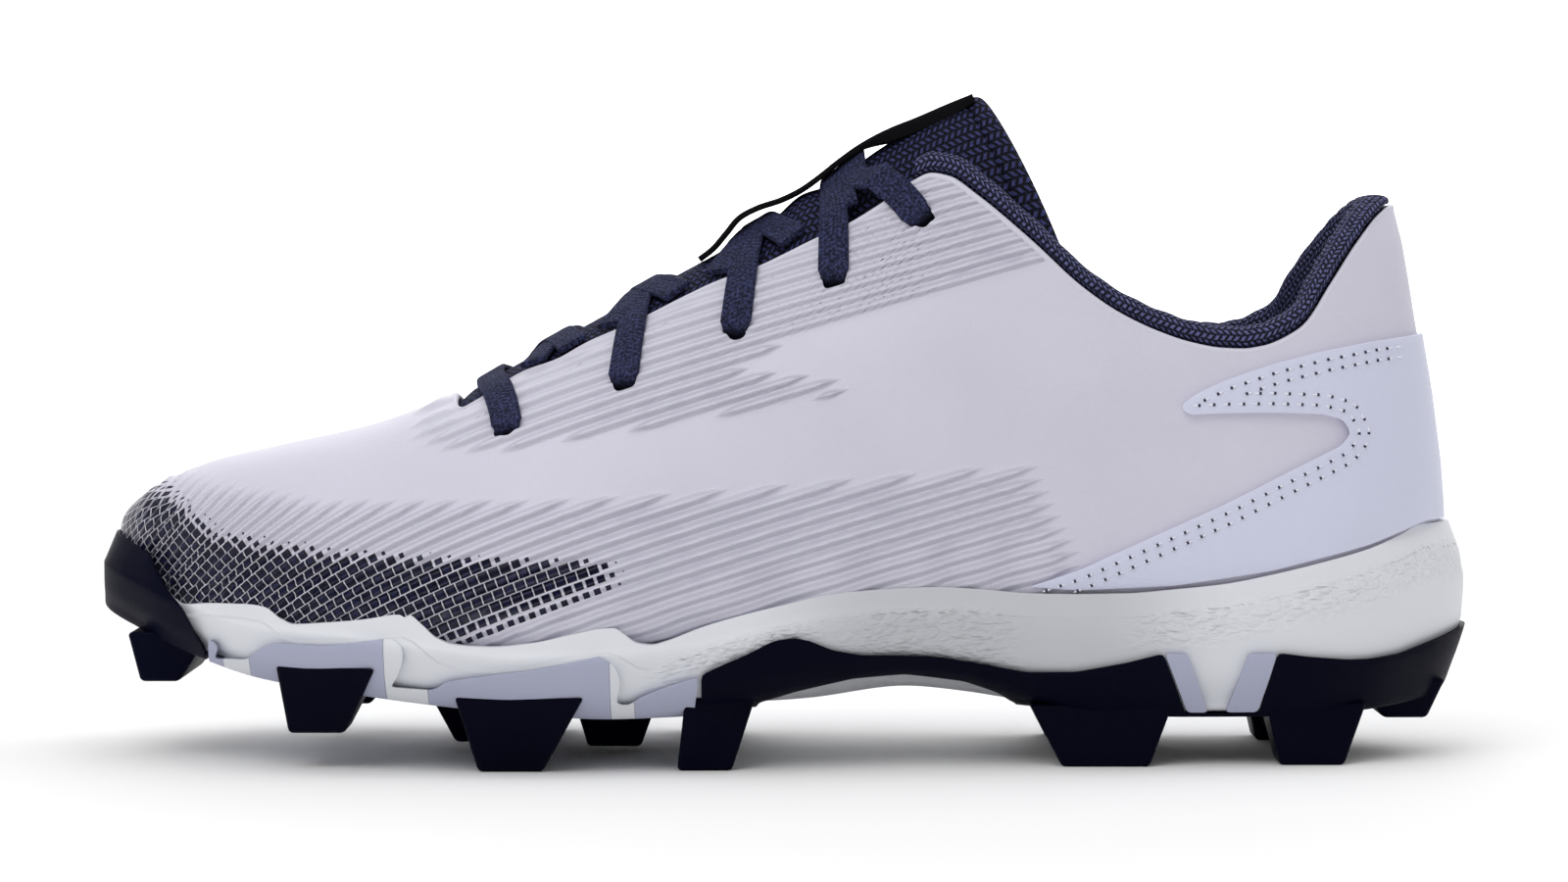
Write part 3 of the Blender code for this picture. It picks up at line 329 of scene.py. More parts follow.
def last_grid(stations, low_steps, high_steps, grow):
    """Points over the whole last: one row for each station, each from the bottom middle round."""
    angle = np.linspace(0.0, np.pi, stations)[:, None]
    lat, med, mid, low, wide, top, power = last_section(angle, grow)
    half = (HEEL_X - TOE_X) / 2 + grow
    x = (TOE_X + HEEL_X) / 2 - half * np.cos(angle)
    down = np.pi / 2 * (1 - np.arange(low_steps) / low_steps)[None, :]
    across_low = np.abs(np.cos(down)) ** (2 / LOWER_ROUND)
    across_low[:, 0] = 0.0
    z_low = wide - (wide - low) * np.sin(down) ** (2 / LOWER_ROUND)
    up = np.pi / 2 * (np.arange(high_steps + 1) / high_steps)[None, :]
    across_high = np.abs(np.cos(up)) ** (2 / power)
    across_high[:, -1] = 0.0
    z_high = wide + (top - wide) * np.sin(up) ** (2 / power)
    across = np.concatenate((np.repeat(across_low, len(angle), 0), across_high), 1)
    z = np.concatenate((z_low, z_high), 1)
    y_lat = mid + (lat - mid) * across
    y_med = mid + (med - mid) * across
    y = np.concatenate((y_lat, y_med[:, -2:0:-1]), 1)
    z = np.concatenate((z, z[:, -2:0:-1]), 1)
    x = lean(np.repeat(x, z.shape[1], 1), z, UPPER_BACK, HEEL_X)
    return np.stack((x, y, z), axis=2)


def last_y(x, z, side, grow=0.0):
    """Where the last's surface stands; side is -1 lateral, +1 medial."""
    x, z, side = np.broadcast_arrays(np.asarray(x, float), np.asarray(z, float), np.asarray(side))
    flat = unlean(x, z, UPPER_BACK, HEEL_X)
    angle = angle_of(flat, TOE_X - grow, HEEL_X + grow)
    lat, med, mid, low, wide, top, power = last_section(angle, grow)
    edge = np.where(side < 0, lat, med)
    up = np.clip((z - wide) / (top - wide), 0.0, 1.0)
    down = np.clip((wide - z) / (wide - low), 0.0, 1.0)
    reach = np.where(
        z >= wide,
        (1 - up**power) ** (1 / power),
        (1 - down**LOWER_ROUND) ** (1 / LOWER_ROUND),
    )
    return mid + (edge - mid) * reach


def last_z(x, y, grow=0.0):
    """Height of the last's upper surface above a place in plan."""
    x, y = np.broadcast_arrays(np.asarray(x, float), np.asarray(y, float))
    angle = angle_of(x, TOE_X - grow, HEEL_X + grow)
    lat, med, mid, low, wide, top, power = last_section(angle, grow)
    edge = np.where(y < mid, lat, med)
    share = np.clip(np.abs((y - mid) / (edge - mid)), 0.0, 1.0)
    return wide + (top - wide) * (1 - share**power) ** (1 / power)


def normal_at(x, z, side):
    """A place on the last's surface, and the direction out of it."""
    y = last_y(x, z, side)
    ahead = last_y(x + 0.5, z, side) - last_y(x - 0.5, z, side)
    above = last_y(x, z + 0.5, side) - last_y(x, z - 0.5, side)
    normal = np.stack((-ahead, np.ones_like(y), -above), axis=-1)
    normal *= np.sign(np.asarray(side, float))[..., None]
    normal /= np.linalg.norm(normal, axis=-1)[..., None]
    return np.stack((x + 0 * y, y, z + 0 * y), -1), normal


def skin_depth(x, y, z):
    """How far inside the last's surface a place lies."""
    side = np.where(y < last_section(angle_of(x, TOE_X, HEEL_X), 0.0)[2], -1, 1)
    depth = np.abs(last_y(x, z, side)) - np.abs(y)
    crown = last_z(np.minimum(x, 60.0), y) - z
    return np.minimum(depth, np.where(x < 60, crown, depth))


def smooth_rim():
    xs = np.linspace(SOLE_TABLE[0, 0], SOLE_TABLE[-1, 0], 60)
    raw = np.interp(xs, RIM[:, 0], RIM[:, 1])
    return xs, np.convolve(np.pad(raw, 3, mode="edge"), np.ones(7) / 7, mode="valid")


def sole_side(angle, grow):
    """Outer half profile of the sole at each station: shares across, insets and heights."""
    lat, med, mid, low, keel = columns(SOLE_TABLE, angle)
    toe, heel = SOLE_TABLE[0, 0], SOLE_TABLE[-1, 0]
    flat = (toe + heel) / 2 - (heel - toe) / 2 * np.cos(angle)
    rim = np.interp(flat, *smooth_rim())
    tall = rim - low
    spread = np.minimum(1.0, np.sin(angle) * 8.0)
    zero = np.zeros_like(low)
    side = (
        (0.0, zero, low - keel - grow),
        (0.40, zero, low - keel * 0.9 - grow),
        (0.80, zero, low - grow),
        (0.90, zero + 1.5 - grow, low + 0.10 * tall - grow * 0.6),
        (0.955, zero - grow, low + 0.34 * tall),
        (1.0, zero - grow, low + 0.72 * tall),
        (0.99, zero + 0.3 - grow, rim - 2.0),
        (0.97, zero + 1.5 - grow, rim + 3.6),
        (0.0, zero, rim + 3.6),
    )
    return lat, med, mid, spread, side


def sole_grid(stations, grow, fine):
    """Points over the whole sole body; fine says how many points each run of its side gets."""
    toe, heel = SOLE_TABLE[0, 0], SOLE_TABLE[-1, 0]
    angle = np.linspace(0.0, np.pi, stations)
    lat, med, mid, spread, side = sole_side(angle, grow)
    share = np.stack([np.full(stations, s[0]) for s in side], 1)
    inset = np.stack([s[1] * spread for s in side], 1)
    z = np.stack([s[2] for s in side], 1)
    keys = np.arange(len(side), dtype=float)
    at = np.concatenate(([0.0, 0.5, 1.0, 1.5], np.linspace(2, 7, 5 * fine + 1), [8.0]))
    share, inset, z = (
        np.stack([hermite(keys, row, at) for row in part]) for part in (share, inset, z)
    )
    x = (toe + heel) / 2 - ((heel - toe) / 2 + grow) * np.cos(angle)
    y_lat = mid[:, None] + (lat - mid)[:, None] * share + inset
    y_med = mid[:, None] + (med - mid)[:, None] * share - inset
    y = np.concatenate((y_lat, y_med[:, -2:0:-1]), 1)
    z = np.concatenate((z, z[:, -2:0:-1]), 1)
    x = lean(np.repeat(x[:, None], z.shape[1], 1), z, SOLE_BACK, heel)
    return np.stack((x, y, z), axis=2)


def sole_y(x, z, side):
    """Where the sole body's side stands; side is -1 lateral, +1 medial."""
    angle = np.atleast_1d(angle_of(x, SOLE_TABLE[0, 0], SOLE_TABLE[-1, 0]))
    lat, med, mid, spread, profile = sole_side(angle, 0.0)
    edge = lat if side < 0 else med
    heights = [float(row[2][0]) for row in profile[2:8]]
    places = [
        float((mid + (edge - mid) * row[0] - side * row[1] * spread)[0]) for row in profile[2:8]
    ]
    return float(np.interp(z, heights, places))


# Meshes
def drop(obj):
    mesh = obj.data
    bpy.data.objects.remove(obj)
    if mesh.users == 0:
        bpy.data.meshes.remove(mesh)


def clean(mesh):
    work = bmesh.new()
    work.from_mesh(mesh)
    bmesh.ops.remove_doubles(work, verts=work.verts, dist=0.00002)
    bmesh.ops.recalc_face_normals(work, faces=work.faces)
    if work.calc_volume(signed=True) < 0:
        bmesh.ops.reverse_faces(work, faces=work.faces)
    work.to_mesh(mesh)
    work.free()


def new_object(name, points, faces, materials=()):
    mesh = bpy.data.meshes.new(name)
    mesh.from_pydata([tuple(p) for p in np.asarray(points, float).reshape(-1, 3) * MM], [], faces)
    for paint in materials:
        mesh.materials.append(paint)
    obj = bpy.data.objects.new(name, mesh)
    bpy.context.scene.collection.objects.link(obj)
    return obj


def grid_faces(rows, count, closed=True):
    i = np.arange(rows - 1)[:, None]
    j = np.arange(count if closed else count - 1)[None, :]
    k = (j + 1) % count
    quads = np.stack((i * count + j, i * count + k, (i + 1) * count + k, (i + 1) * count + j), -1)
    return quads.reshape(-1, 4).tolist()


def grid_object(name, grid, materials=(), closed=True, caps=False, values=None):
    grid = np.asarray(grid, float)
    rows, count = grid.shape[:2]
    faces = grid_faces(rows, count, closed)
    if caps:
        faces.append(list(range(count - 1, -1, -1)))
        faces.append([(rows - 1) * count + j for j in range(count)])
    obj = new_object(name, grid, faces, materials)
    for key, value in (values or {}).items():
        store(obj, key, np.broadcast_to(value, grid.shape[:2]))
    if closed:
        clean(obj.data)
    return obj


def prism(name, outline, y_from=-90.0, y_to=90.0):
    count = len(outline)
    points = [(x, y_from, z) for x, z in outline] + [(x, y_to, z) for x, z in outline]
    faces = [list(range(count)), list(range(2 * count - 1, count - 1, -1))]
    for i in range(count):
        j = (i + 1) % count
        faces.append([i, i + count, j + count, j])
    obj = new_object(name, points, faces)
    clean(obj.data)
    return obj


def rounded(outline, radius):
    """An outline with its corners turned by a small radius."""
    points = np.asarray(outline, float)
    made = []
    for i, corner in enumerate(points):
        before = points[i - 1] - corner
        after = points[(i + 1) % len(points)] - corner
        long_a, long_b = np.linalg.norm(before), np.linalg.norm(after)
        cut = min(radius, long_a * 0.45, long_b * 0.45)
        start = corner + before / long_a * cut
        end = corner + after / long_b * cut
        for t in (0.0, 0.5, 1.0):
            made.append((1 - t) ** 2 * start + 2 * t * (1 - t) * corner + t**2 * end)
    return [tuple(p) for p in made]


def combine(target, operation, other, keep=False):
    """A Boolean. It raises an error where the result is empty or larger than what went in."""
    before = points_of(target.data)
    if operation == "UNION":
        before = np.concatenate((before, points_of(other.data)))
    modifier = target.modifiers.new("cut", "BOOLEAN")
    modifier.operation = operation
    modifier.solver = "EXACT"
    modifier.object = other
    bake(target)
    after = points_of(target.data)
    if not len(after):
        raise RuntimeError(f"{target.name}: nothing is left after {operation} with {other.name}")
    grown = max((before.min(0) - after.min(0)).max(), (after.max(0) - before.max(0)).max())
    if grown > 0.1:
        message = f"{operation} with {other.name} grew it by {grown:.1f} mm"
        raise RuntimeError(f"{target.name}: {message}")
    if not keep:
        drop(other)
    return target


def bake(obj):
    """Applies the modifiers."""
    bpy.context.view_layer.update()
    graph = bpy.context.evaluated_depsgraph_get()
    made = bpy.data.meshes.new_from_object(obj.evaluated_get(graph))
    old = obj.data
    obj.modifiers.clear()
    obj.data = made
    bpy.data.meshes.remove(old)
    return obj


def bevel(obj, width, segments, angle):
    modifier = obj.modifiers.new("edge", "BEVEL")
    modifier.width = width * MM
    modifier.segments = segments
    modifier.limit_method = "ANGLE"
    modifier.angle_limit = math.radians(angle)
    return bake(obj)


def smooth(obj, angle=38.0):
    mesh = obj.data
    mesh.polygons.foreach_set("use_smooth", np.ones(len(mesh.polygons), bool))
    mesh.set_sharp_from_angle(angle=math.radians(angle))
    mesh.update()
    return obj


def join(objects, name):
    work = bmesh.new()
    materials = []
    for obj in objects:
        shift = []
        for paint in obj.data.materials:
            if paint not in materials:
                materials.append(paint)
            shift.append(materials.index(paint))
        start = len(work.faces)
        work.from_mesh(obj.data)
        work.faces.ensure_lookup_table()
        for face in work.faces[start:]:
            face.material_index = shift[face.material_index] if shift else 0
    mesh = bpy.data.meshes.new(name)
    work.to_mesh(mesh)
    work.free()
    for paint in materials:
        mesh.materials.append(paint)
    made = bpy.data.objects.new(name, mesh)
    bpy.context.scene.collection.objects.link(made)
    for obj in objects:
        drop(obj)
    return made


def repaint(obj, *materials):
    obj.data.materials.clear()
    for paint in materials:
        obj.data.materials.append(paint)
    if len(materials) == 1:
        obj.data.polygons.foreach_set("material_index", np.zeros(len(obj.data.polygons), np.int32))


def vectors(items, name):
    """One vector of each vertex or face, as rows."""
    flat = np.empty(len(items) * 3)
    items.foreach_get(name, flat)
    return flat.reshape(-1, 3)


def points_of(mesh):
    return vectors(mesh.vertices, "co") / MM


def move_points(obj, points):
    obj.data.vertices.foreach_set("co", (points * MM).ravel())
    obj.data.update()


def store(obj, name, values):
    """A named value at each vertex."""
    layer = obj.data.attributes.new(name, "FLOAT", "POINT")
    layer.data.foreach_set("value", np.asarray(values, np.float32).ravel())


def tube(name, path, radius, sides, materials=()):
    path = np.asarray(path, float)
    along = np.gradient(path, axis=0)
    along /= np.linalg.norm(along, axis=1)[:, None]
    up = np.array((0.0, 0.0, 1.0))
    first = np.cross(along, up)
    first /= np.maximum(np.linalg.norm(first, axis=1), 1e-6)[:, None]
    second = np.cross(first, along)
    turn = np.linspace(0, 2 * np.pi, sides, endpoint=False)
    radius = np.broadcast_to(radius, (len(path),))
    grid = (
        path[:, None]
        + radius[:, None, None] * np.cos(turn)[None, :, None] * first[:, None]
        + radius[:, None, None] * np.sin(turn)[None, :, None] * second[:, None]
    )
    return grid_object(name, grid, materials, caps=True)


def add_piece(obj, name, slot, *nodes):
    """Names a finished piece, hides the parts that it stands for and hangs it on the root body;
    slot is not used.
    """
    obj.name = name
    if nodes:
        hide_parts(*nodes)
    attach(obj, "root")


# Shaders
class Wave:
    """A shader value that takes ordinary arithmetic."""

    def __init__(self, paint, socket):
        self.paint = paint
        self.socket = socket

    def math(self, operation, *others):
        inputs = {0: self}
        for i, other in enumerate(others):
            inputs[i + 1] = other
        node = self.paint.node("ShaderNodeMath", {"operation": operation}, inputs)
        return Wave(self.paint, node.outputs[0])

    def __add__(self, other):
        return self.math("ADD", other)

    __radd__ = __add__

    def __sub__(self, other):
        return self.math("SUBTRACT", other)

    def __rsub__(self, other):
        return self.paint.number(other).math("SUBTRACT", self)

    def __mul__(self, other):
        return self.math("MULTIPLY", other)

    __rmul__ = __mul__

    def __truediv__(self, other):
        return self.math("DIVIDE", other)

    def __abs__(self):
        return self.math("ABSOLUTE")

    def fract(self):
        return self.math("FRACT")

    def floor(self):
        return self.math("FLOOR")

    def most(self, other):
        return self.math("MAXIMUM", other)

    def sine(self):
        return self.math("SINE")

    def power(self, other):
        return self.math("POWER", other)

    def ramp(self, low, high):
        """0 below low, 1 above high, smooth between."""
        settings = {"interpolation_type": "SMOOTHSTEP", "clamp": True}
        inputs = {"Value": self, "From Min": low, "From Max": high}
        return Wave(self.paint, self.paint.node("ShaderNodeMapRange", settings, inputs).outputs[0])


class Paint:
    """One Principled material built node by node."""

    def __init__(self, name, colour, roughness, **constants):
        self.material = bpy.data.materials.new(name)
        self.material.use_nodes = True
        self.tree = self.material.node_tree
        self.shader = self.tree.nodes["Principled BSDF"]
        self.shader.inputs["Base Color"].default_value = (*colour, 1.0)
        self.shader.inputs["Roughness"].default_value = roughness
        for key, value in constants.items():
            self.shader.inputs[key.replace("_", " ")].default_value = value
        self.material.diffuse_color = (*colour, 1.0)

    def node(self, kind, settings=None, inputs=None):
        made = self.tree.nodes.new(kind)
        for key, value in (settings or {}).items():
            setattr(made, key, value)
        for key, value in (inputs or {}).items():
            if isinstance(value, Wave):
                self.tree.links.new(value.socket, made.inputs[key])
            elif isinstance(value, bpy.types.NodeSocket):
                self.tree.links.new(value, made.inputs[key])
            else:
                made.inputs[key].default_value = value
        return made

    def number(self, value):
        made = self.node("ShaderNodeValue")
        made.outputs[0].default_value = value
        return Wave(self, made.outputs[0])

    def attribute(self, name):
        made = self.node("ShaderNodeAttribute", {"attribute_name": name})
        return Wave(self, made.outputs["Fac"])

    def place(self):
        """Object coordinates in millimetres, as a vector socket and as x, y and z."""
        coords = self.node("ShaderNodeTexCoord").outputs["Object"]
        scaled = self.node(
            "ShaderNodeVectorMath", {"operation": "SCALE"}, {0: coords, "Scale": 1000.0}
        )
        split = self.node("ShaderNodeSeparateXYZ", None, {0: scaled.outputs[0]})
        return scaled.outputs[0], [Wave(self, out) for out in split.outputs]

    def steps(self, value, pairs):
        """A curve of straight runs through pairs of value and result."""
        made = self.number(float(pairs[0][1]))
        for (a, low), (b, high) in zip(pairs, pairs[1:]):
            settings = {"interpolation_type": "LINEAR", "clamp": True}
            inputs = {"Value": value, "From Min": float(a), "From Max": float(b)}
            inputs.update({"To Min": 0.0, "To Max": float(high - low)})
            run = self.node("ShaderNodeMapRange", settings, inputs)
            made = made + Wave(self, run.outputs[0])
        return made

    def noise(self, vector, scale, detail=2.0, rough=0.5):
        inputs = {"Vector": vector, "Scale": scale, "Detail": detail, "Roughness": rough}
        return Wave(self, self.node("ShaderNodeTexNoise", None, inputs).outputs["Fac"])

    def cells(self, vector, scale):
        made = self.node("ShaderNodeTexVoronoi", None, {"Vector": vector, "Scale": scale})
        return Wave(self, made.outputs["Distance"])

    def mix(self, share, a, b):
        made = self.node("ShaderNodeMix", {"data_type": "RGBA"})
        for key, value in ((0, share), (6, a), (7, b)):
            if isinstance(value, (Wave, bpy.types.NodeSocket)):
                self.tree.links.new(getattr(value, "socket", value), made.inputs[key])
            elif isinstance(value, (tuple, list)):
                made.inputs[key].default_value = (*value, 1.0)
            else:
                made.inputs[key].default_value = value
        return made.outputs[2]

    def colour(self, socket):
        self.tree.links.new(socket, self.shader.inputs["Base Color"])

    def roughness(self, wave):
        self.tree.links.new(wave.socket, self.shader.inputs["Roughness"])

    def bump(self, height, depth):
        """Height in 0 to 1, depth in millimetres."""
        inputs = {"Height": height, "Distance": depth * MM, "Strength": 1.0}
        made = self.node("ShaderNodeBump", None, inputs)
        previous = self.shader.inputs["Normal"]
        if previous.is_linked:
            self.tree.links.new(previous.links[0].from_socket, made.inputs["Normal"])
        self.tree.links.new(made.outputs[0], previous)


PAINTS = {}


def size(name):
    """A size from the panel, in millimetres."""
    return getattr(bpy.context.scene.cleat, name) / MM


def tint(name, light=1.0):
    """A colour from the panel, made lighter or darker."""
    return tuple(min(1.0, value * light) for value in getattr(bpy.context.scene.cleat, name))


def rgb(red, green, blue):
    """Linear colour from 8-bit screen values."""
    shares = [value / 255 for value in (red, green, blue)]
    return tuple(((v + 0.055) / 1.055) ** 2.4 if v > 0.04 else v / 12.92 for v in shares)


def make_skin():
    p = Paint("cleat_upper_skin", tint("upper"), 0.42, Specular_IOR_Level=0.3)
    vector, _ = p.place()
    rib = p.attribute("rib")
    lane = p.attribute("lane")
    # Raised ribs, each with rounded ends of its own
    pitch = size("upper_rib_pitch")
    high = rib / pitch
    count = high.floor() + 0.5
    across = abs(high.fract() - 0.5)
    start = p.steps(count, rib_limits(UPPER_RIB_STARTS, pitch))
    end = p.steps(count, rib_limits(UPPER_RIB_ENDS, pitch))
    taper = across * 6.0
    upper = (lane - start - taper).ramp(-0.5, 4.0) * (end - lane - taper).ramp(-0.5, 3.5)
    upper = upper * (1.0 - across.ramp(0.02, 0.5))
    pitch = size("lower_rib_pitch")
    low = rib / pitch
    count = low.floor() + 0.5
    across = abs(low.fract() - 0.5)
    end = p.steps(count, rib_limits(LOWER_RIB_ENDS, pitch))
    lower = (end - lane - across * 6.0).ramp(-0.5, 5.0) * (lane + 136.0).ramp(0.0, 8.0)
    lower = lower * (1.0 - across.ramp(0.02, 0.5))
    p.bump(upper.most(lower), 0.9)
    # Printed squares that shrink towards the edge of the print
    row = p.attribute("print_v")
    shift = row.floor() * 0.36
    col = p.attribute("print_u") + shift
    middle = col.floor() + 0.5 - shift
    level = row.floor() + p.attribute("print_lift")
    last = p.steps(level + 0.5, print_limits())
    full = ((last - middle - p.attribute("print_fan")) / 2.9).ramp(-0.1, 1.0).power(0.7)
    full = full * (level - PRINT_FIRST_ROW).ramp(-0.6, -0.4)
    full = full * (1.0 - 0.35 * (1.0 - (level - PRINT_FIRST_ROW).ramp(0.4, 1.6)))
    reach = abs(row.fract() - 0.5).most(abs(col.fract() - 0.5))
    square = 1.0 - (reach - full * 0.45).ramp(-0.02, 0.02)
    square = square * full.ramp(0.04, 0.1)
    # The middle of each square is painted in lighter ink than its rim: a painted glint, its
    # brightness varied by noise
    core = 1.0 - (reach - full * 0.26).ramp(-0.05, 0.05)
    grain = p.cells(vector, 2.2)
    soft = p.noise(vector, 0.035, 3.0)
    base = p.mix(soft.ramp(0.3, 0.7), tint("upper", 0.98), tint("upper", 1.02))
    shade = p.noise(vector, 0.35, 2.0).ramp(0.35, 0.65)
    # Dark ink on the rim of each square, lighter ink in the middle as the painted glint
    ink = p.mix(core, tint("ink", 0.3), p.mix(shade, tint("ink", 0.6), tint("ink", 1.5)))
    p.colour(p.mix(square, base, ink))
    p.roughness(0.46 - square * 0.14 + grain * 0.05)
    p.bump(grain, 0.035)
    p.bump(p.noise(vector, 0.9, 3.0), 0.04)
    return p.material


def make_plain_skin(name, colour, rough):
    p = Paint(name, colour, rough)
    vector, _ = p.place()
    grain = p.cells(vector, 2.6)
    p.bump(grain, 0.03)
    p.roughness(rough + grain * 0.06)
    return p.material


def make_lining():
    p = Paint("cleat_lining", tint("lining"), 0.9)
    vector, _ = p.place()
    p.bump(p.noise(vector, 2.5, 2.0), 0.15)
    return p.material


def make_mesh(name, pitch_u, pitch_v, depth, light, hole_shade):
    """Knitted spacer mesh: brick rows of rounded bars with open holes between, which are painted
    near-black as painted shade.
    """
    p = Paint(name, light, 0.8, Specular_IOR_Level=0.15)
    v = p.attribute("v") / pitch_v
    odd = v.floor() * 0.5
    slant = (odd.fract() * 4.0 - 1.0) * (v.fract() - 0.5) * 0.7
    u = p.attribute("u") / pitch_u + odd + slant
    cu = abs(u.fract() - 0.5)
    cv = abs(v.fract() - 0.5)
    hole = (cu * 1.1).most(cv * 0.9).ramp(0.22, 0.46)
    vector, _ = p.place()
    fibre = p.noise(vector, 2.4, 3.0)
    # The holes are painted near-black: painted shade inside the mesh
    p.colour(p.mix(hole, p.mix(fibre.ramp(0.35, 0.65), light, tuple(c * 1.7 for c in light)), hole_shade))
    p.bump(1.0 - hole, depth)
    p.bump(fibre, 0.25)
    return p.material


def make_lace():
    p = Paint("cleat_lace", tint("lace"), 0.85, Specular_IOR_Level=0.12)
    u = p.attribute("u")
    v = p.attribute("v")
    knit = (u * 5.2 + abs(v) * 3.0).sine() * 0.5 + 0.5
    rib = (v * 7.0).sine() * 0.5 + 0.5
    vector, _ = p.place()
    heather = p.noise(vector, 1.6, 3.0, 0.7)
    shade = p.mix(heather.ramp(0.38, 0.62), tint("lace", 0.12), tint("lace"))
    yarn = p.mix(knit * rib, shade, tint("lace", 0.25))
    # The end of the lace inside its eyelet is painted near-black: painted shade in the eyelet's
    # hole
    p.colour(p.mix(p.attribute("tip").ramp(0.1, 0.6), yarn, tint("lace", 0.08)))
    p.bump(knit * 0.6 + rib * 0.4, 0.22)
    return p.material


def make_webbing():
    p = Paint("cleat_webbing", tint("webbing"), 0.85, Specular_IOR_Level=0.15)
    u = p.attribute("u")
    v = p.attribute("v")
    weave = (u * 4.0).sine() * (v * 4.0).sine()
    p.bump(weave * 0.5 + 0.5, 0.12)
    return p.material


def make_midsole():
    p = Paint("cleat_midsole", tint("foam"), 0.5)
    vector, _ = p.place()
    worn = p.attribute("band")
    under = p.attribute("under")
    inputs = {"Vector": vector, "Scale": (0.45, 1.0, 1.0)}
    long = p.node("ShaderNodeMapping", None, inputs).outputs[0]
    wrinkle = abs(p.noise(long, 0.55, 2.0, 0.5) - 0.5) * 2.4
    # The middle of the midsole is painted darker than heel and toe: painted shade
    waist = p.attribute("waist")
    p.colour(p.mix(waist, tint("foam"), tint("foam", 0.74)))
    p.bump(wrinkle * worn, 0.7)
    p.bump(under.ramp(4.4, 5.2), 0.35)
    p.bump(p.noise(vector, 2.5, 2.0), 0.02)
    return p.material


def make_rubber(name, colour, rough):
    p = Paint(name, colour, rough, Specular_IOR_Level=0.04)
    vector, _ = p.place()
    fine = p.noise(vector, 1.2, 3.0)
    p.bump(fine, 0.03)
    p.roughness(rough + fine * 0.1)
    return p.material


def make_pods():
    """Lilac pods with the foam's colour between them."""
    p = Paint("cleat_forefoot_pods", tint("pale_rubber"), 0.5, Specular_IOR_Level=0.04)
    vector, (x, _, _) = p.place()
    gap = p.number(0.0)
    for low, high in POD_GAPS:
        gap = gap.most((x - low).ramp(-0.1, 0.1) * (high - x).ramp(-0.1, 0.1))
    p.colour(p.mix(gap, tint("pale_rubber"), tint("foam")))
    p.bump(gap, 0.3)
    p.bump(p.noise(vector, 1.2, 3.0), 0.03)
    return p.material


def make_stitch(name, colour):
    p = Paint(name, colour, 0.6)
    vector, _ = p.place()
    p.bump(p.noise(vector, 4.0, 1.0), 0.05)
    return p.material


def paint(name):
    if name not in PAINTS:
        PAINTS[name] = PAINT_MAKERS[name]()
    return PAINTS[name]


# Where the forefoot layer shows the foam's colour, from x to x
POD_GAPS = ((-113.6, -107.6), (-79.4, -70.8), (-34.4, -29.6))

PAINT_MAKERS = {
    "pods": make_pods,
    "skin": make_skin,
    "edge": lambda: make_plain_skin("cleat_upper_edge", tint("upper"), 0.5),
    # A lighter copy of the upper's colour, for the painted highlight on the counter's cut edge
    "cut": lambda: make_plain_skin("cleat_cut_edge", tint("upper", 1.2), 0.5),
    "counter": lambda: make_plain_skin("cleat_counter", tint("overlay"), 0.42),
    "lining": make_lining,
    "mesh": lambda: make_mesh(
        "cleat_tongue_mesh", 1.5, 2.0, 0.9, tint("tongue_mesh"), tint("tongue_mesh", 0.04)
    ),
    "collar": lambda: make_mesh(
        "cleat_collar_mesh", 1.3, 1.3, 0.6, tint("collar_mesh"), tint("collar_mesh", 0.07)
    ),
    "lace": make_lace,
    "webbing": make_webbing,
    "midsole": make_midsole,
    "navy": lambda: make_rubber("cleat_rubber_navy", tint("dark_rubber"), 0.42),
    "bumper": lambda: make_rubber("cleat_bumper_navy", tint("dark_rubber", 1.3), 0.42),
    "lilac": lambda: make_rubber("cleat_rubber_lilac", tint("pale_rubber"), 0.5),
    "thread": lambda: make_stitch("cleat_thread", tint("thread")),
    "seam": lambda: make_stitch("cleat_seam_thread", tint("thread", 0.64)),
    "needle": lambda: make_stitch("cleat_needle_hole", tint("ink")),
}


# Upper
def rib_slope(x):
    return np.interp(
        x,
        (-142.0, -120.0, -100.0, -80.0, -60.0, -30.0, 0.0, 60.0, 140.0),
        (1.5, 1.0, 0.70, 0.50, 0.40, 0.325, 0.30, 0.28, 0.28),
    )


def rib_field(x, z):
    """Height in millimetres of the rib through a place seen from the side."""
    xs = np.linspace(-145.0, 145.0, 400)
    rise = np.concatenate(([0.0], np.cumsum(rib_slope(xs[:-1]) * np.diff(xs))))
    rise -= np.interp(0.0, xs, rise)
    return z - np.interp(x, xs, rise)


def step(value, low, high):
    t = np.clip((value - low) / (high - low), 0.0, 1.0)
    return t * t * (3 - 2 * t)


# Where single ribs begin and end, seen from the side
# x, z
UPPER_RIB_STARTS = (
    (-76.7, 66.0), (-71.2, 63.6), (-60.2, 63.0), (-52.7, 64.6), (-43.5, 66.0),
    (-32.5, 67.7), (-22.2, 69.5), (-11.2, 71.4), (-1.2, 72.8), (13.9, 76.2),
)
UPPER_RIB_ENDS = (
    (62.0, 106.0), (44.3, 101.3), (-11.0, 81.6), (-7.3, 80.9), (-2.7, 80.1),
    (3.1, 79.7), (8.0, 79.1), (13.3, 78.3),
)
LOWER_RIB_ENDS = (
    (-124.6, 60.5), (-116.0, 58.6), (-106.0, 57.0), (-91.6, 54.6), (-76.3, 54.6), (-63.6, 54.8),
    (-49.0, 54.8), (-40.2, 55.2), (-30.8, 55.6), (-21.5, 56.2), (-12.7, 56.8), (-3.9, 57.4),
    (11.9, 58.7), (25.5, 59.7), (39.2, 60.7), (50.9, 62.6), (56.0, 52.0), (60.0, 44.0),
)
# Upper edge and right end of the printed squares
# x, z
PRINT_TOP = (
    (-137.0, 55.0), (-130.0, 57.6), (-126.0, 56.5), (-121.0, 53.5), (-117.0, 50.4), (-111.0, 48.0),
    (-100.0, 46.4), (-89.0, 45.2), (-78.0, 44.6), (-68.0, 44.0), (-58.5, 43.8),
    (-46.0, 43.4), (-36.0, 43.4), (-31.5, 42.4), (-31.0, 39.4),
)
PRINT_FIRST_ROW = 21.0


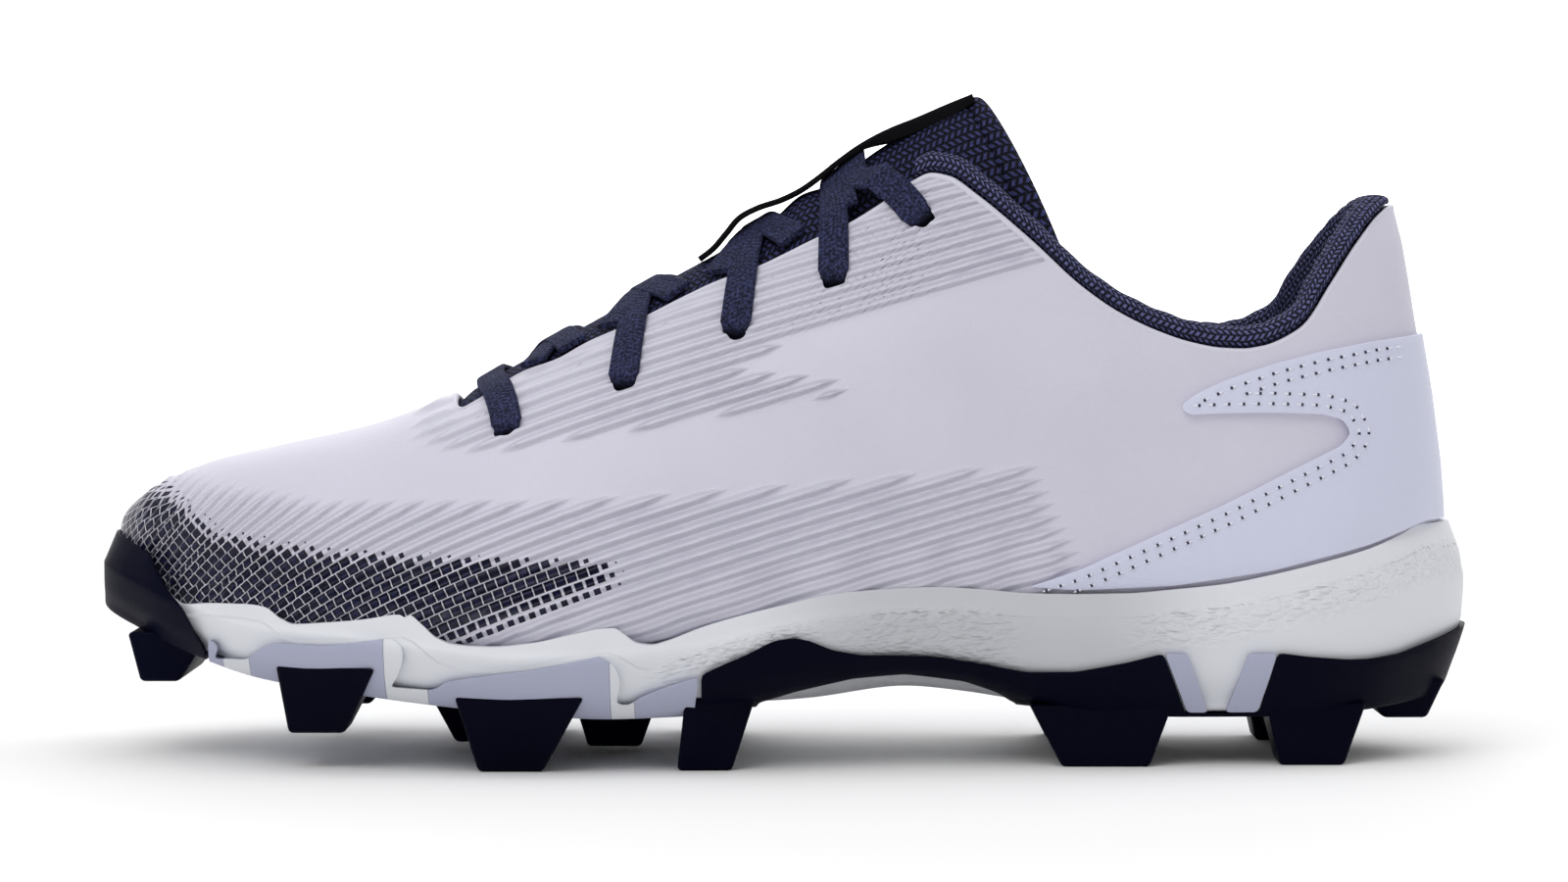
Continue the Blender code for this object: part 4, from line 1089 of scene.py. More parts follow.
def print_frame():
    """Columns that stand square to the rows: x, how far round the toe, and the column scale."""
    xs = np.linspace(-138.8, 60.0, 500)
    edge = last_y(xs, 40.0, -1)
    run = np.concatenate(([0.0], np.cumsum(np.hypot(np.diff(xs), np.diff(edge)))))
    slope = rib_slope(xs) * np.gradient(xs, run)
    turned = np.concatenate(([0.0], np.cumsum(np.diff(run) / slope[:-1])))
    middle = np.interp(xs, (-138.0, -120.0, -60.0, 60.0), (44.0, 42.0, 36.0, 36.0)) + turned
    share = slope / np.hypot(1.0, slope)
    scale = np.concatenate(([0.0], np.cumsum(share[:-1] * np.diff(middle))))
    return xs, turned, middle, scale


def print_place(x, z, y=None):
    """Row and column of the printed squares at a place seen from the side.

    With y, rows and columns fan out from the middle of the toe, where the skin faces forward.
    """
    xs, turned, middle, scale = print_frame()
    round_toe = np.interp(x, xs, turned)
    if y is not None:
        off = np.abs(last_y(xs, 40.0, -1) - last_y(xs[0], 40.0, -1))
        widest = int(np.argmax(off))
        across = np.abs(y - last_y(xs[0], 40.0, -1))
        seen = step(across, 12.0, 24.0)
        fan = np.interp(across, off[:widest], turned[:widest])
        round_toe = fan + (round_toe - fan) * seen
        x = x + (np.interp(across, off[:widest], xs[:widest]) - x) * (1 - seen)
    column = np.interp(z + round_toe, middle, scale) / size("square_pitch")
    return rib_field(x, z) / size("square_row"), column


def print_limits():
    """Pairs of row and last column of the printed squares, lowest row first."""
    x, z = np.array(PRINT_TOP).T
    pairs = sorted(zip(*print_place(x, z)))
    kept = [pairs[0]]
    for row, column in pairs[1:]:
        if row - kept[-1][0] > 0.2:
            kept.append((row, column))
    return kept


def rib_limits(places, pitch):
    """Pairs of rib count and x from places seen from the side, lowest rib first."""
    x, z = np.array(places).T
    pairs = sorted(zip(rib_field(x, z) / pitch, x))
    kept = [pairs[0]]
    for count, place in pairs[1:]:
        if count - kept[-1][0] > 0.15:
            kept.append((count, place))
    return kept


def rib_relief(x, z):
    """Height of the ribs at places seen from the side, from 0 between them to 1 on a crest."""
    field = rib_field(x, z)
    kinds = (
        (size("upper_rib_pitch"), UPPER_RIB_STARTS, UPPER_RIB_ENDS, 4.0),
        (size("lower_rib_pitch"), None, LOWER_RIB_ENDS, 5.0),
    )
    relief = np.zeros_like(field)
    for pitch, starts, ends, fade in kinds:
        count = np.floor(field / pitch) + 0.5
        across = np.abs(field / pitch - count)
        last = np.interp(count, *np.array(rib_limits(ends, pitch)).T)
        if starts:
            first = np.interp(count, *np.array(rib_limits(starts, pitch)).T)
            begun = step(x - first - across * 6.0, -0.5, 4.0)
        else:
            begun = step(x, -136.0, -128.0)
        ended = step(last - x - across * 6.0, -0.5, fade)
        relief = np.maximum(relief, begun * ended * (1 - step(across, 0.02, 0.5)))
    return relief


def raise_ribs(obj):
    """Moves the outer skin out where a rib runs."""
    points = points_of(obj.data)
    x, y, z = points.T
    outer = skin_depth(x, y, z) < 0.3
    out = vectors(obj.data.vertices, "normal")
    edge = np.full(len(points), 99.0)
    for edge_x, edge_z in zip(*top_outline()):
        edge = np.minimum(edge, np.hypot(x - edge_x, z - edge_z))
    fade = outer * step(z, 24.0, 28.0) * step(edge, 1.0, 2.6)
    high = rib_relief(x, z) * fade * size("rib_height")
    move_points(obj, points + out * high[:, None])


def mark_upper(obj):
    """Stores on each vertex where the ribs and the printed squares run."""
    x, y, z = points_of(obj.data).T
    store(obj, "rib", rib_field(x, z))
    store(obj, "lane", x)
    seen_row, seen_column = print_place(x, z)
    row, column = print_place(x, z, y)
    store(obj, "print_u", column)
    store(obj, "print_v", row)
    store(obj, "print_fan", seen_column - column)
    store(obj, "print_lift", seen_row - row)


def top_outline():
    return fine_line(TOP_LINE, 260).T


def eyelet_frames():
    for row, (x, z, crown, dive) in enumerate(EYELETS):
        for side in (-1, 1):
            place, normal = normal_at(np.float64(x), np.float64(z), side)
            yield row, side, place, normal


def edge_path(grow, low):
    """The throat and collar edge from front to heel on the lateral side, and back on the medial."""
    xs, zs = top_outline()
    keep = zs < last_z(np.minimum(xs, 60.0), 0.0) - 0.3
    xs, zs = xs[keep], zs[keep] - low
    near = np.stack((xs, last_y(xs, zs, -1, grow), zs), 1)
    far = np.stack((xs, last_y(xs, zs, 1, grow), zs), 1)
    return near, far[::-1]


def build_upper(context):
    shell = grid_object("upper_skin", last_grid(240, 12, 130, 0.0))
    combine(shell, "DIFFERENCE", grid_object("inner", last_grid(100, 8, 20, -WALL)))
    over_edge = [(-70.0, 90.0), *zip(*top_outline())]
    over_edge += [(146.0, 113.6), (146.0, 190.0), (-70.0, 190.0)]
    combine(shell, "DIFFERENCE", prism("line", over_edge))
    rows = []
    for x in np.linspace(-118.0, 118.0, 24):
        lat, med, _, low = last_section(angle_of(x, TOE_X, HEEL_X), 0.0)[:4]
        near, far, high = lat + 9.0, med - 9.0, low + WALL + 2.5
        rows.append(((x, near, 5.0), (x, far, 5.0), (x, far, high), (x, near, high)))
    combine(shell, "DIFFERENCE", grid_object("bottom", rows, caps=True))
    holes = []
    for row, side, place, normal in eyelet_frames():
        path = np.array([place - normal * 5.0, place + normal * 4.0])
        holes.append(tube("hole", path, 2.8, 24))
    combine(shell, "DIFFERENCE", join(holes, "holes"))
    repaint(shell, paint("skin"), paint("lining"))
    faces = shell.data.polygons
    x, y, z = (vectors(faces, "center") / MM).T
    inside = (skin_depth(x, y, z) > 1.5) | (z < 24.0)
    faces.foreach_set("material_index", inside.astype(np.int32))
    mark_upper(shell)
    raise_ribs(shell)
    smooth(shell)
    add_piece(shell, "upper_shell", "synthetic_white", "upper")
    # A soft rolled lip along the throat and collar edge
    lip = tube("lip", np.concatenate(edge_path(-0.75, 0.35)), 0.85, 10, (paint("edge"),))
    smooth(lip, 80)
    add_piece(lip, "upper_edge_roll", "synthetic_white")


def build_counter(context):
    shell = grid_object("counter", last_grid(200, 10, 40, GAP + OVERLAY_THICK))
    combine(shell, "INTERSECT", prism("outline", rounded(COUNTER, 1.0)))
    combine(shell, "DIFFERENCE", grid_object("core", last_grid(150, 8, 30, 0.05)))
    bevel(shell, 0.35, 2, 50)
    repaint(shell, paint("counter"), paint("cut"))
    # The cut edge is painted lighter than the face, as a painted highlight along the counter's rim
    faces = shell.data.polygons
    x, y, z = (vectors(faces, "center") / MM).T
    out = normal_at(x, z, np.where(y < 0, -1, 1))[1]
    cut = (np.abs((out * vectors(faces, "normal")).sum(1)) < 0.75) & (x < 128)
    faces.foreach_set("material_index", cut.astype(np.int32))
    smooth(shell, 45)
    add_piece(shell, "counter_overlay", "synthetic_lilac", "heel_counter")


# Collar, tongue and strap
def collar_grid(count, profile):
    at = np.sin(np.linspace(0, np.pi / 2, count))
    xs = COLLAR_FROM_X + (127.1 - COLLAR_FROM_X) * at
    zs = np.interp(xs, *top_outline())
    near = np.stack((xs, last_y(xs, zs, -1), zs), 1)
    far = np.stack((xs, last_y(xs, zs, 1), zs), 1)[::-1][1:]
    path = np.concatenate((near, far))
    flat = np.gradient(path[:, :2], axis=0)
    for _ in range(4):
        flat[1:-1] = (flat[:-2] + 2 * flat[1:-1] + flat[2:]) / 4
    flat /= np.linalg.norm(flat, axis=1)[:, None]
    inward = np.stack((-flat[:, 1], flat[:, 0], np.zeros(len(flat))), 1)
    low = np.interp(path[:, 0], (104.0, 122.0), (1.0, 0.5))[:, None]
    up = profile[None, :, 1] * np.where(profile[None, :, 1] > 0, low, 1.0)
    grid = path[:, None] + profile[None, :, :1] * inward[:, None]
    grid[:, :, 2] += up
    return grid, path


def lengths(grid):
    """How far along and how far across each point of a grid lies, in millimetres."""
    along = np.linalg.norm(np.diff(grid, axis=0), axis=2).mean(1)
    across = np.linalg.norm(np.diff(grid, axis=1), axis=2)
    u = np.concatenate(([0.0], np.cumsum(along)))[:, None]
    v = np.concatenate((np.zeros((len(grid), 1)), np.cumsum(across, 1)), 1)
    return {"u": u, "v": v}


def build_collar(context):
    profile = fine_line(COLLAR_PROFILE, 40)
    grid, path = collar_grid(150, profile)
    wave = 0.12 * np.sin(np.arange(len(grid)) * 0.9)[:, None]
    grid[:, :, 2] += wave * (profile[None, :, 1] > 1)
    roll = grid_object("collar_roll", grid, (paint("collar"),), closed=False, values=lengths(grid))
    smooth(roll, 80)
    # Inner lining down to the sockliner
    rows = []
    for place, cross in zip(path, grid):
        top = cross[-1]
        side = -1 if top[1] < 0 else 1
        x = top[0]
        zs = np.linspace(top[2] + 0.4, 33.0, 22)
        y = last_y(x, zs, side, -WALL - 0.9)
        share = np.clip((top[2] - zs) / 12.0, 0, 1)
        rows.append(np.stack((np.full(22, x), top[1] * (1 - share) + y * share, zs), 1))
    inside = grid_object("collar_inner", np.array(rows), (paint("lining"),), closed=False)
    smooth(inside, 80)
    both = join([roll, inside], "collar_padding")
    smooth(both, 80)
    add_piece(both, "collar_padding", "mesh_navy", "collar_lining")


def build_insole(context):
    angle = np.linspace(0.03, np.pi - 0.03, 120)
    lat, med, mid, low = last_section(angle, -WALL - GAP)[:4]
    half = (HEEL_X - TOE_X) / 2 - WALL - GAP
    x = (TOE_X + HEEL_X) / 2 - half * np.cos(angle)
    rows = []
    shares = np.sin(np.linspace(-np.pi / 2, np.pi / 2, 41))
    for i in range(len(angle)):
        reach = np.where(shares < 0, mid[i] - lat[i], med[i] - mid[i])
        y = mid[i] + reach * shares * 0.96
        z = low[i] + 4.2 + 2.4 * np.abs(shares) ** 6
        rows.append(np.stack((lean(np.full(41, x[i]), z, UPPER_BACK, HEEL_X), y, z), 1))
    top_skin = np.array(rows)
    under = top_skin.copy()
    under[:, :, 2] -= 3.0
    grid = np.concatenate((top_skin, under[:, ::-1]), 1)
    pad = smooth(grid_object("sockliner_pad", grid, (paint("lining"),), caps=True), 50)
    add_piece(pad, "sockliner_pad", "sockliner", "insole")


def tongue_grid(rows, cols):
    at = np.linspace(0, 1, rows)
    keys = np.linspace(0, 1, len(TONGUE_TABLE))
    xs, zs, backs, halves, thicks = (hermite(keys, TONGUE_TABLE[:, i], at) for i in range(5))
    shares = np.linspace(-1, 1, cols)
    mid = columns(LAST_TABLE, angle_of(xs, TOE_X, HEEL_X))[2]
    zs = zs + step(xs, -69.5, -64.0) * (1.5 - 0.6 * step(xs, 12.0, 26.0))
    zs = zs + 2.0 * np.exp(-(((xs - 3.5) / 4.5) ** 2))
    x = xs[:, None] + backs[:, None] * np.abs(shares)[None, :] ** 1.6
    y = halves[:, None] * shares[None, :] + mid[:, None]
    middle = last_z(xs[:, None], 0 * y, TONGUE_UNDER)
    drop_z = last_z(xs[:, None], y, TONGUE_UNDER) - middle
    return np.stack((x, y, zs[:, None] + drop_z), 2), thicks


def build_tongue(context):
    skin, thick = tongue_grid(200, 90)
    along = np.gradient(skin, axis=0)
    across = np.gradient(skin, axis=1)
    normal = np.cross(along, across)
    normal /= np.linalg.norm(normal, axis=2)[:, :, None]
    normal *= np.sign(normal[:, :, 2:3])
    shares = np.linspace(-1, 1, skin.shape[1])
    edge = np.sqrt(np.clip(1 - np.abs(shares) ** 8, 0.02, 1))
    row = np.linspace(0, 1, skin.shape[0])
    end = np.sqrt(np.clip(1 - np.clip((row - 0.965) / 0.035, 0, 1) ** 2, 0.02, 1))
    body = thick[:, None] * edge[None, :] * end[:, None]
    # Bound end: a soft seam inside the top edge
    seam = 0.7 * np.exp(-(((row - 0.935) / 0.006) ** 2))
    thinner = thick[:, None] / 2 * (1 - edge[None, :] * end[:, None]) + seam[:, None]
    top = skin - normal * thinner[:, :, None]
    low = top - normal * body[:, :, None]
    grid = np.concatenate((top, low[:, ::-1]), 1)
    run = lengths(skin)
    across = run["v"] - run["v"][:, skin.shape[1] // 2][:, None]
    values = {"u": run["u"], "v": np.concatenate((across, across[:, ::-1]), 1)}
    pad = grid_object("tongue_pad", grid, (paint("mesh"),), caps=True, values=values)
    smooth(pad, 60)
    add_piece(pad, "tongue_pad", "mesh_navy", "tongue")


def build_strap(context):
    path = fine_line(STRAP, 90)
    run = np.gradient(path, axis=0)
    run /= np.linalg.norm(run, axis=1)[:, None]
    ring = fine_line(STRAP_SECTION, 28)
    up = np.stack((-run[:, 1], 0 * run[:, 0], run[:, 0]), 1)
    under = 1.0 + 3.4 * step(path[:, 0], 14.0, 24.0) * (1 - 0.6 * step(path[:, 0], 34.0, 39.0))
    high = np.where(ring[:, 1] < 0, under[:, None], 1.0) * ring[None, :, 1]
    grid = np.stack((path[:, 0], np.full(len(path), 0.6), path[:, 1]), 1)[:, None]
    grid = grid + up[:, None] * high[:, :, None]
    grid[:, :, 1] += ring[None, :, 0]
    values = lengths(grid)
    strap = grid_object("webbing_strap", grid, (paint("webbing"),), caps=True, values=values)
    smooth(strap, 50)
    add_piece(strap, "webbing_strap", "webbing_black", "tongue_strap")


# Laces
def tongue_z(x, y):
    crown = np.interp(x, TONGUE_TABLE[:, 0], TONGUE_TABLE[:, 1])
    return crown + last_z(x, y, TONGUE_UNDER) - last_z(x, 0.0 * y, TONGUE_UNDER)


def lace_z(x, y):
    """Height of a lace's middle: over the upper's edge, and over the tongue between."""
    over = last_z(x, y, 1.05)
    near = np.clip((17.0 - np.abs(y)) / 10.0, 0.0, 1.0)
    return over + (np.minimum(over + 0.8, tongue_z(x, y) + 2.8) - over) * near


def lace_strip(stops, lift=0.0, ends=(None, None)):
    """A flat lace over the throat; ends say how far each end runs into its eyelet."""
    stops = np.array(stops, float)
    reach = np.concatenate(([0.0], np.cumsum(np.linalg.norm(np.diff(stops, axis=0), axis=1))))
    at = np.linspace(0, reach[-1], 60)
    xs = hermite(reach, stops[:, 0], at)
    ys = hermite(reach, stops[:, 1], at)
    zs = lace_z(xs, ys) + lift * np.exp(-((ys / 8.0) ** 2))
    path = np.stack((xs, ys, zs), 1)
    half = size("lace_width") / 2
    width = np.full(len(path), half)
    # Rises to 1 along the part of each end that runs into its eyelet, where the lace is painted
    # with shade
    tip = np.zeros(len(path))
    slope_x = lace_z(xs + 0.5, ys) - lace_z(xs - 0.5, ys)
    slope_y = lace_z(xs, ys + 0.5) - lace_z(xs, ys - 0.5)
    normal = np.stack((-slope_x, -slope_y, np.ones(len(xs))), 1)
    for which, end in enumerate(ends):
        if end is None:
            continue
        place, out = end
        tail = 9
        t = np.linspace(0, 1, tail)[:, None]
        rim = path[0] if which == 0 else path[-1]
        turn = (path[0] - path[1]) if which == 0 else (path[-1] - path[-2])
        turn = turn / np.linalg.norm(turn)
        inner = place - out * 4.6 + turn * 0.6
        knee = place + out * 0.9 + turn * 1.5
        curve = (1 - t) ** 2 * rim + 2 * t * (1 - t) * knee + t**2 * inner
        narrow = np.linspace(half - 0.1, half - 1.5, tail)
        if which == 0:
            path = np.concatenate((curve[::-1][:-1], path))
            width = np.concatenate((narrow[::-1][:-1], width))
            tip = np.concatenate((np.linspace(1.0, 0.0, tail)[:-1], tip))
            bent = normal[:1] + turn * np.linspace(1.6, 0, tail - 1)[:, None]
            normal = np.concatenate((bent, normal))
        else:
            path = np.concatenate((path, curve[1:]))
            width = np.concatenate((width, narrow[1:]))
            tip = np.concatenate((tip, np.linspace(0.0, 1.0, tail)[1:]))
            bent = normal[-1:] + turn * np.linspace(0, 1.6, tail - 1)[:, None]
            normal = np.concatenate((normal, bent))
    along = np.gradient(path, axis=0)
    along /= np.linalg.norm(along, axis=1)[:, None]
    normal -= along * (normal * along).sum(1)[:, None]
    normal /= np.linalg.norm(normal, axis=1)[:, None]
    side = np.cross(along, normal)
    ring = fine_line(LACE_SECTION, 25)[:-1]
    grid = (
        path[:, None]
        + side[:, None] * ring[None, :, :1] * width[:, None, None]
        + normal[:, None] * ring[None, :, 1:] * LACE_HALF_THICK
    )
    u = np.concatenate(([0.0], np.cumsum(np.linalg.norm(np.diff(path, axis=0), axis=1))))
    values = {"u": u[:, None], "v": ring[None, :, 0] * half, "tip": tip[:, None]}
    return grid_object("lace", grid, (paint("lace"),), caps=True, values=values)


def throat_y(x, side):
    """Where a lace goes under the throat's edge."""
    z = np.interp(x, *top_outline())
    return float(last_y(x, z, side)) * 0.88


def edge_bar(first, crown, last, lift, side=-1):
    """A lace from under the throat's edge on one side to the other."""
    stops = ((first, throat_y(first, side)), (crown, 0.0), (last, throat_y(last, -side)))
    return lace_strip(stops, lift)


def add_lace(strips, name, node):
    add_piece(smooth(join(strips, name), 60), name, "lace_navy", node)


def build_laces(context):
    eyelets = {(row, side): (place, normal) for row, side, place, normal in eyelet_frames()}
    for index, (x, z, crown, dive) in enumerate(EYELETS):
        near, far = eyelets[(index, -1)], eyelets[(index, 1)]
        near_y, far_y = near[0][1], far[0][1]
        if index == len(EYELETS) - 1:
            # The top row runs forward before it crosses the tongue
            stops = (
                (x - 1.5, near_y), (x - 3.8, near_y + 2.2), (x - 8.2, -18.0), (x - 13.6, -9.5),
                (crown - 3.0, 0.0),
                (x - 13.6, 9.5), (x - 8.2, 15.0), (x - 3.8, far_y - 2.2), (x - 1.5, far_y),
            )
            strips = [lace_strip(stops, 1.0, (near, far))]
        elif dive is None:
            strips = [lace_strip(((x, near_y), (crown, 0.0), (x, far_y)), 0.0, (near, far))]
        else:
            to_far = ((x, near_y), (crown, 0.0), (dive, throat_y(dive, 1)))
            to_near = ((x, far_y), (crown, 0.0), (dive, throat_y(dive, -1)))
            strips = [lace_strip(to_far, 0.0, (near, None)), lace_strip(to_near, 0.65, (far, None))]
        if index + 1 in EDGE_BARS:
            strips.append(edge_bar(*EDGE_BARS[index + 1], 0.27))
        add_lace(strips, f"lace_strip_{index + 1}", f"lace_row_{index + 1}")
    strips = [edge_bar(*CROSS_BAR, -0.5), edge_bar(*CROSS_BAR, 0.1, 1)]
    add_lace(strips, "lace_strip_cross", "lace_cross_1")


# Sole
def build_midsole(context):
    body = grid_object("midsole_body", sole_grid(220, 0.0, 5))
    outline = [*fine_line(RIM, 300), (146.0, 0.0), (-146.0, 0.0)]
    combine(body, "INTERSECT", prism("rim", outline))
    combine(body, "DIFFERENCE", grid_object("cup", last_grid(120, 8, 20, 0.12)))
    behind_bumper = ((-150.0, 41.7), (-127.0, 41.7), (-127.0, 60.0), (-150.0, 60.0))
    combine(body, "DIFFERENCE", prism("toe_top", behind_bumper))
    bevel(body, 0.9, 3, 50)
    repaint(body, paint("midsole"))
    smooth(body, 50)
    x, y, z = points_of(body.data).T
    rim = np.interp(x, RIM[:, 0], RIM[:, 1])
    under = rim - z
    band = step(under, 3.0, 5.0) * np.maximum.reduce((
        step(x, -30.0, -22.0) * (1 - step(x, 2.0, 12.0)) * (1 - step(under, 7.0, 10.0)),
        step(x, 66.0, 76.0) * (1 - step(under, 9.0, 13.0)),
        step(x, 6.0, 20.0) * (1 - step(x, 40.0, 52.0)),
    ))
    store(body, "band", band)
    # How much painted shade darkens the middle of the midsole
    store(body, "waist", step(x, -12.0, 20.0) * (1 - step(x, 62.0, 92.0)))
    store(body, "under", under + 3.0 * step(x, -60.0, -140.0))
    add_piece(body, "midsole_wall", "foam_white", "midsole")


def lug_block(row, side=None, proud=1.8):
    """A tapered lug; with a side, its outer face stands proud of the forefoot layer."""
    top_a, top_b, top_z, low_a, low_b, low_z, low_near, low_far = row
    if side is None:
        near, far, sign = (low_near - 3.0,) * 2, (low_far + 3.0,) * 2, 1.0
    else:
        reach = GAP + FOREFOOT_THICK + proud
        far = tuple(abs(sole_y(x, top_z, side)) + reach for x in (top_a, top_b))
        near, sign = (low_near - 5.0,) * 2, float(side)
    low = [(low_a, low_near), (low_b, low_near), (low_b, low_far), (low_a, low_far)]
    high = [(top_a, near[0]), (top_b, near[1]), (top_b, far[1]), (top_a, far[0])]
    points = [(x, sign * y, low_z) for x, y in low] + [(x, sign * y, top_z) for x, y in high]
    faces = [(3, 2, 1, 0), (4, 5, 6, 7), (0, 1, 5, 4), (1, 2, 6, 5), (2, 3, 7, 6), (3, 0, 4, 7)]
    obj = new_object("lug", points, faces)
    clean(obj.data)
    return bevel(obj, 0.9, 3, 20)


def cover(outline, thick):
    """A layer over the sole body, cut by an outline seen from the side."""
    made = grid_object("cover", sole_grid(220, GAP + thick, 4))
    return combine(made, "INTERSECT", prism("outline", rounded(outline, 1.0)))


def finish_rubber(obj, name, colour, node, slot, soft=0.3):
    if soft:
        bevel(obj, soft, 2, 55)
    repaint(obj, paint(colour))
    add_piece(smooth(obj, 40), name, slot, node)


def add_bumper():
    bumper = cover(BUMPER, BUMPER_THICK)
    # Its top leans back onto the upper
    x, y, z = points_of(bumper.data).T
    x += np.clip(z - 39.5, 0.0, None) * 0.42 * step(-x, 118.0, 138.0)
    move_points(bumper, np.stack((x, y, z), 1))
    combine(bumper, "UNION", lug_block(MIDDLE_LUGS["toe"]))
    low_box = ((-150.0, 0.0), (-100.0, 0.0), (-100.0, 42.0), (-150.0, 42.0))
    core = grid_object("core", sole_grid(180, CUT_GROW, 3))
    combine(bumper, "DIFFERENCE", combine(core, "INTERSECT", prism("box", low_box)))
    combine(bumper, "DIFFERENCE", grid_object("toe", last_grid(160, 10, 24, 0.15)))
    finish_rubber(bumper, "bumper_shell", "bumper", "toe_bumper", "rubber_navy", 0.45)


def add_forefoot(inner):
    plate = cover(FOREFOOT, FOREFOOT_THICK)
    combine(plate, "DIFFERENCE", inner, keep=True)
    finish_rubber(plate, "forefoot_layer", "pods", "forefoot_plate", "rubber_lilac")


def add_rear(inner):
    rear = cover(REAR, REAR_THICK)
    for name in ("waist", "heel_front", "heel_back"):
        for side in (-1, 1):
            combine(rear, "UNION", lug_block(SIDE_LUGS[name], side, -0.3))
    combine(rear, "UNION", lug_block(MIDDLE_LUGS["tail"]))
    combine(rear, "DIFFERENCE", inner, keep=True)
    finish_rubber(rear, "rear_shell", "navy", "rear_outsole", "rubber_navy")


def add_heel_bars(inner):
    for name, outline in HEEL_BARS:
        for side, label, edges in ((-1, "lateral", (-60.0, -20.0)), (1, "medial", (20.0, 60.0))):
            bar = grid_object("bar", sole_grid(180, GAP + BAR_THICK, 3))
            combine(bar, "INTERSECT", prism("outline", rounded(outline, 0.8), *edges))
            combine(bar, "DIFFERENCE", inner, keep=True)
            finish_rubber(bar, f"{name}_cap_{label}", "lilac", f"{name}_{label}", "rubber_lilac")


def add_lugs():
    under = grid_object("under", sole_grid(180, GAP + FOREFOOT_THICK + 0.05, 3))
    lugs = []
    for name in ("lug_front", "lug_ball"):
        for side, label in ((-1, "lateral"), (1, "medial")):
            lugs.append((SIDE_LUGS[name], side, f"{name}_block_{label}", f"{name}_{label}"))
    for name in ("lug_middle_front", "lug_middle_back"):
        lugs.append((MIDDLE_LUGS[name], None, f"{name}_block", name))
    for row, side, piece, node in lugs:
        lug = combine(lug_block(row, side), "DIFFERENCE", under, keep=True)
        finish_rubber(lug, piece, "navy", node, "rubber_navy", 0.0)
    drop(under)


def build_outsole(context):
    inner = grid_object("inner_sole", sole_grid(180, CUT_GROW, 3))
    add_bumper()
    add_forefoot(inner)
    add_rear(inner)
    add_heel_bars(inner)
    drop(inner)
    add_lugs()


# Stitches
def stitch_tree():
    """Geometry Nodes: short threads, or holes, at even steps along a line."""
    tree = bpy.data.node_groups.new("stitch_row", "GeometryNodeTree")
    sockets = (
        ("Line", "NodeSocketGeometry"), ("Pitch", "NodeSocketFloat"),
        ("Size", "NodeSocketVector"), ("Material", "NodeSocketMaterial"),
    )
    for name, kind in sockets:
        tree.interface.new_socket(name, in_out="INPUT", socket_type=kind)
    tree.interface.new_socket("Stitches", in_out="OUTPUT", socket_type="NodeSocketGeometry")

    def node(kind, settings, links):
        made = tree.nodes.new(kind)
        for key, value in settings.items():
            setattr(made, key, value)
        for key, source in links.items():
            tree.links.new(source, made.inputs[key])
        return made

    start = node("NodeGroupInput", {}, {}).outputs
    curve = node("GeometryNodeMeshToCurve", {}, {"Mesh": start["Line"]})
    points = node(
        "GeometryNodeCurveToPoints",
        {"mode": "LENGTH"},
        {"Curve": curve.outputs[0], "Length": start["Pitch"]},
    )
    turn = node(
        "FunctionNodeAlignRotationToVector", {"axis": "X"}, {"Vector": points.outputs["Tangent"]}
    )
    bead = node("GeometryNodeMeshUVSphere", {}, {})
    bead.inputs["Segments"].default_value = 6
    bead.inputs["Rings"].default_value = 4
    bead.inputs["Radius"].default_value = 1.0
    placed = node(
        "GeometryNodeInstanceOnPoints",
        {},
        {
            "Points": points.outputs["Points"], "Instance": bead.outputs["Mesh"],
            "Rotation": turn.outputs[0], "Scale": start["Size"],
        },
    )
    real = node("GeometryNodeRealizeInstances", {}, {"Geometry": placed.outputs[0]})
    painted = node(
        "GeometryNodeSetMaterial", {}, {"Geometry": real.outputs[0], "Material": start["Material"]}
    )
    node("NodeGroupOutput", {}, {"Stitches": painted.outputs[0]})
    return tree


def stitch_row(name, lines, pitch, bead, material):
    """One mesh of stitches along lines given in millimetres."""
    points, edges = [], []
    for line in lines:
        first = len(points)
        points += [tuple(p) for p in np.asarray(line) * MM]
        edges += [(first + i, first + i + 1) for i in range(len(line) - 1)]
    mesh = bpy.data.meshes.new(name)
    mesh.from_pydata(points, edges, [])
    obj = bpy.data.objects.new(name, mesh)
    bpy.context.scene.collection.objects.link(obj)
    modifier = obj.modifiers.new("stitches", "NODES")
    tree = bpy.data.node_groups.get("stitch_row") or stitch_tree()
    modifier.node_group = tree
    names = {item.name: item.identifier for item in tree.interface.items_tree}
    modifier[names["Pitch"]] = pitch * MM
    modifier[names["Size"]] = tuple(v * MM for v in bead)
    modifier[names["Material"]] = material
    return smooth(bake(obj), 80)


def on_surface(places, side, grow):
    x, z = np.asarray(places, float).T
    return np.stack((x, last_y(x, z, side, grow), z), 1)


def inset(outline, depth):
    """The outline's line moved inwards, cut where it would run into itself."""
    at = np.arange(len(outline), dtype=float)
    fine = np.linspace(0, len(outline) - 1, 700)
    points = np.array(outline, float)
    line = np.stack([np.interp(fine, at, points[:, i]) for i in (0, 1)], 1)
    for _ in range(12):
        line[1:-1] = (line[:-2] + 2 * line[1:-1] + line[2:]) / 4
    along = np.gradient(line, axis=0)
    along /= np.linalg.norm(along, axis=1)[:, None]
    moved = line + depth * np.stack((-along[:, 1], along[:, 0]), 1)
    gap = np.linalg.norm(moved[:, None] - line[None, ::2], axis=2).min(1)
    return moved[gap > depth - 0.12]


def split(line):
    """The line's parts, apart where it jumps over 2.5 mm."""
    jumps = np.linalg.norm(np.diff(line, axis=0), axis=1)
    cuts = np.nonzero(jumps > 2.5)[0] + 1
    return [part for part in np.split(line, cuts) if len(part) > 3]


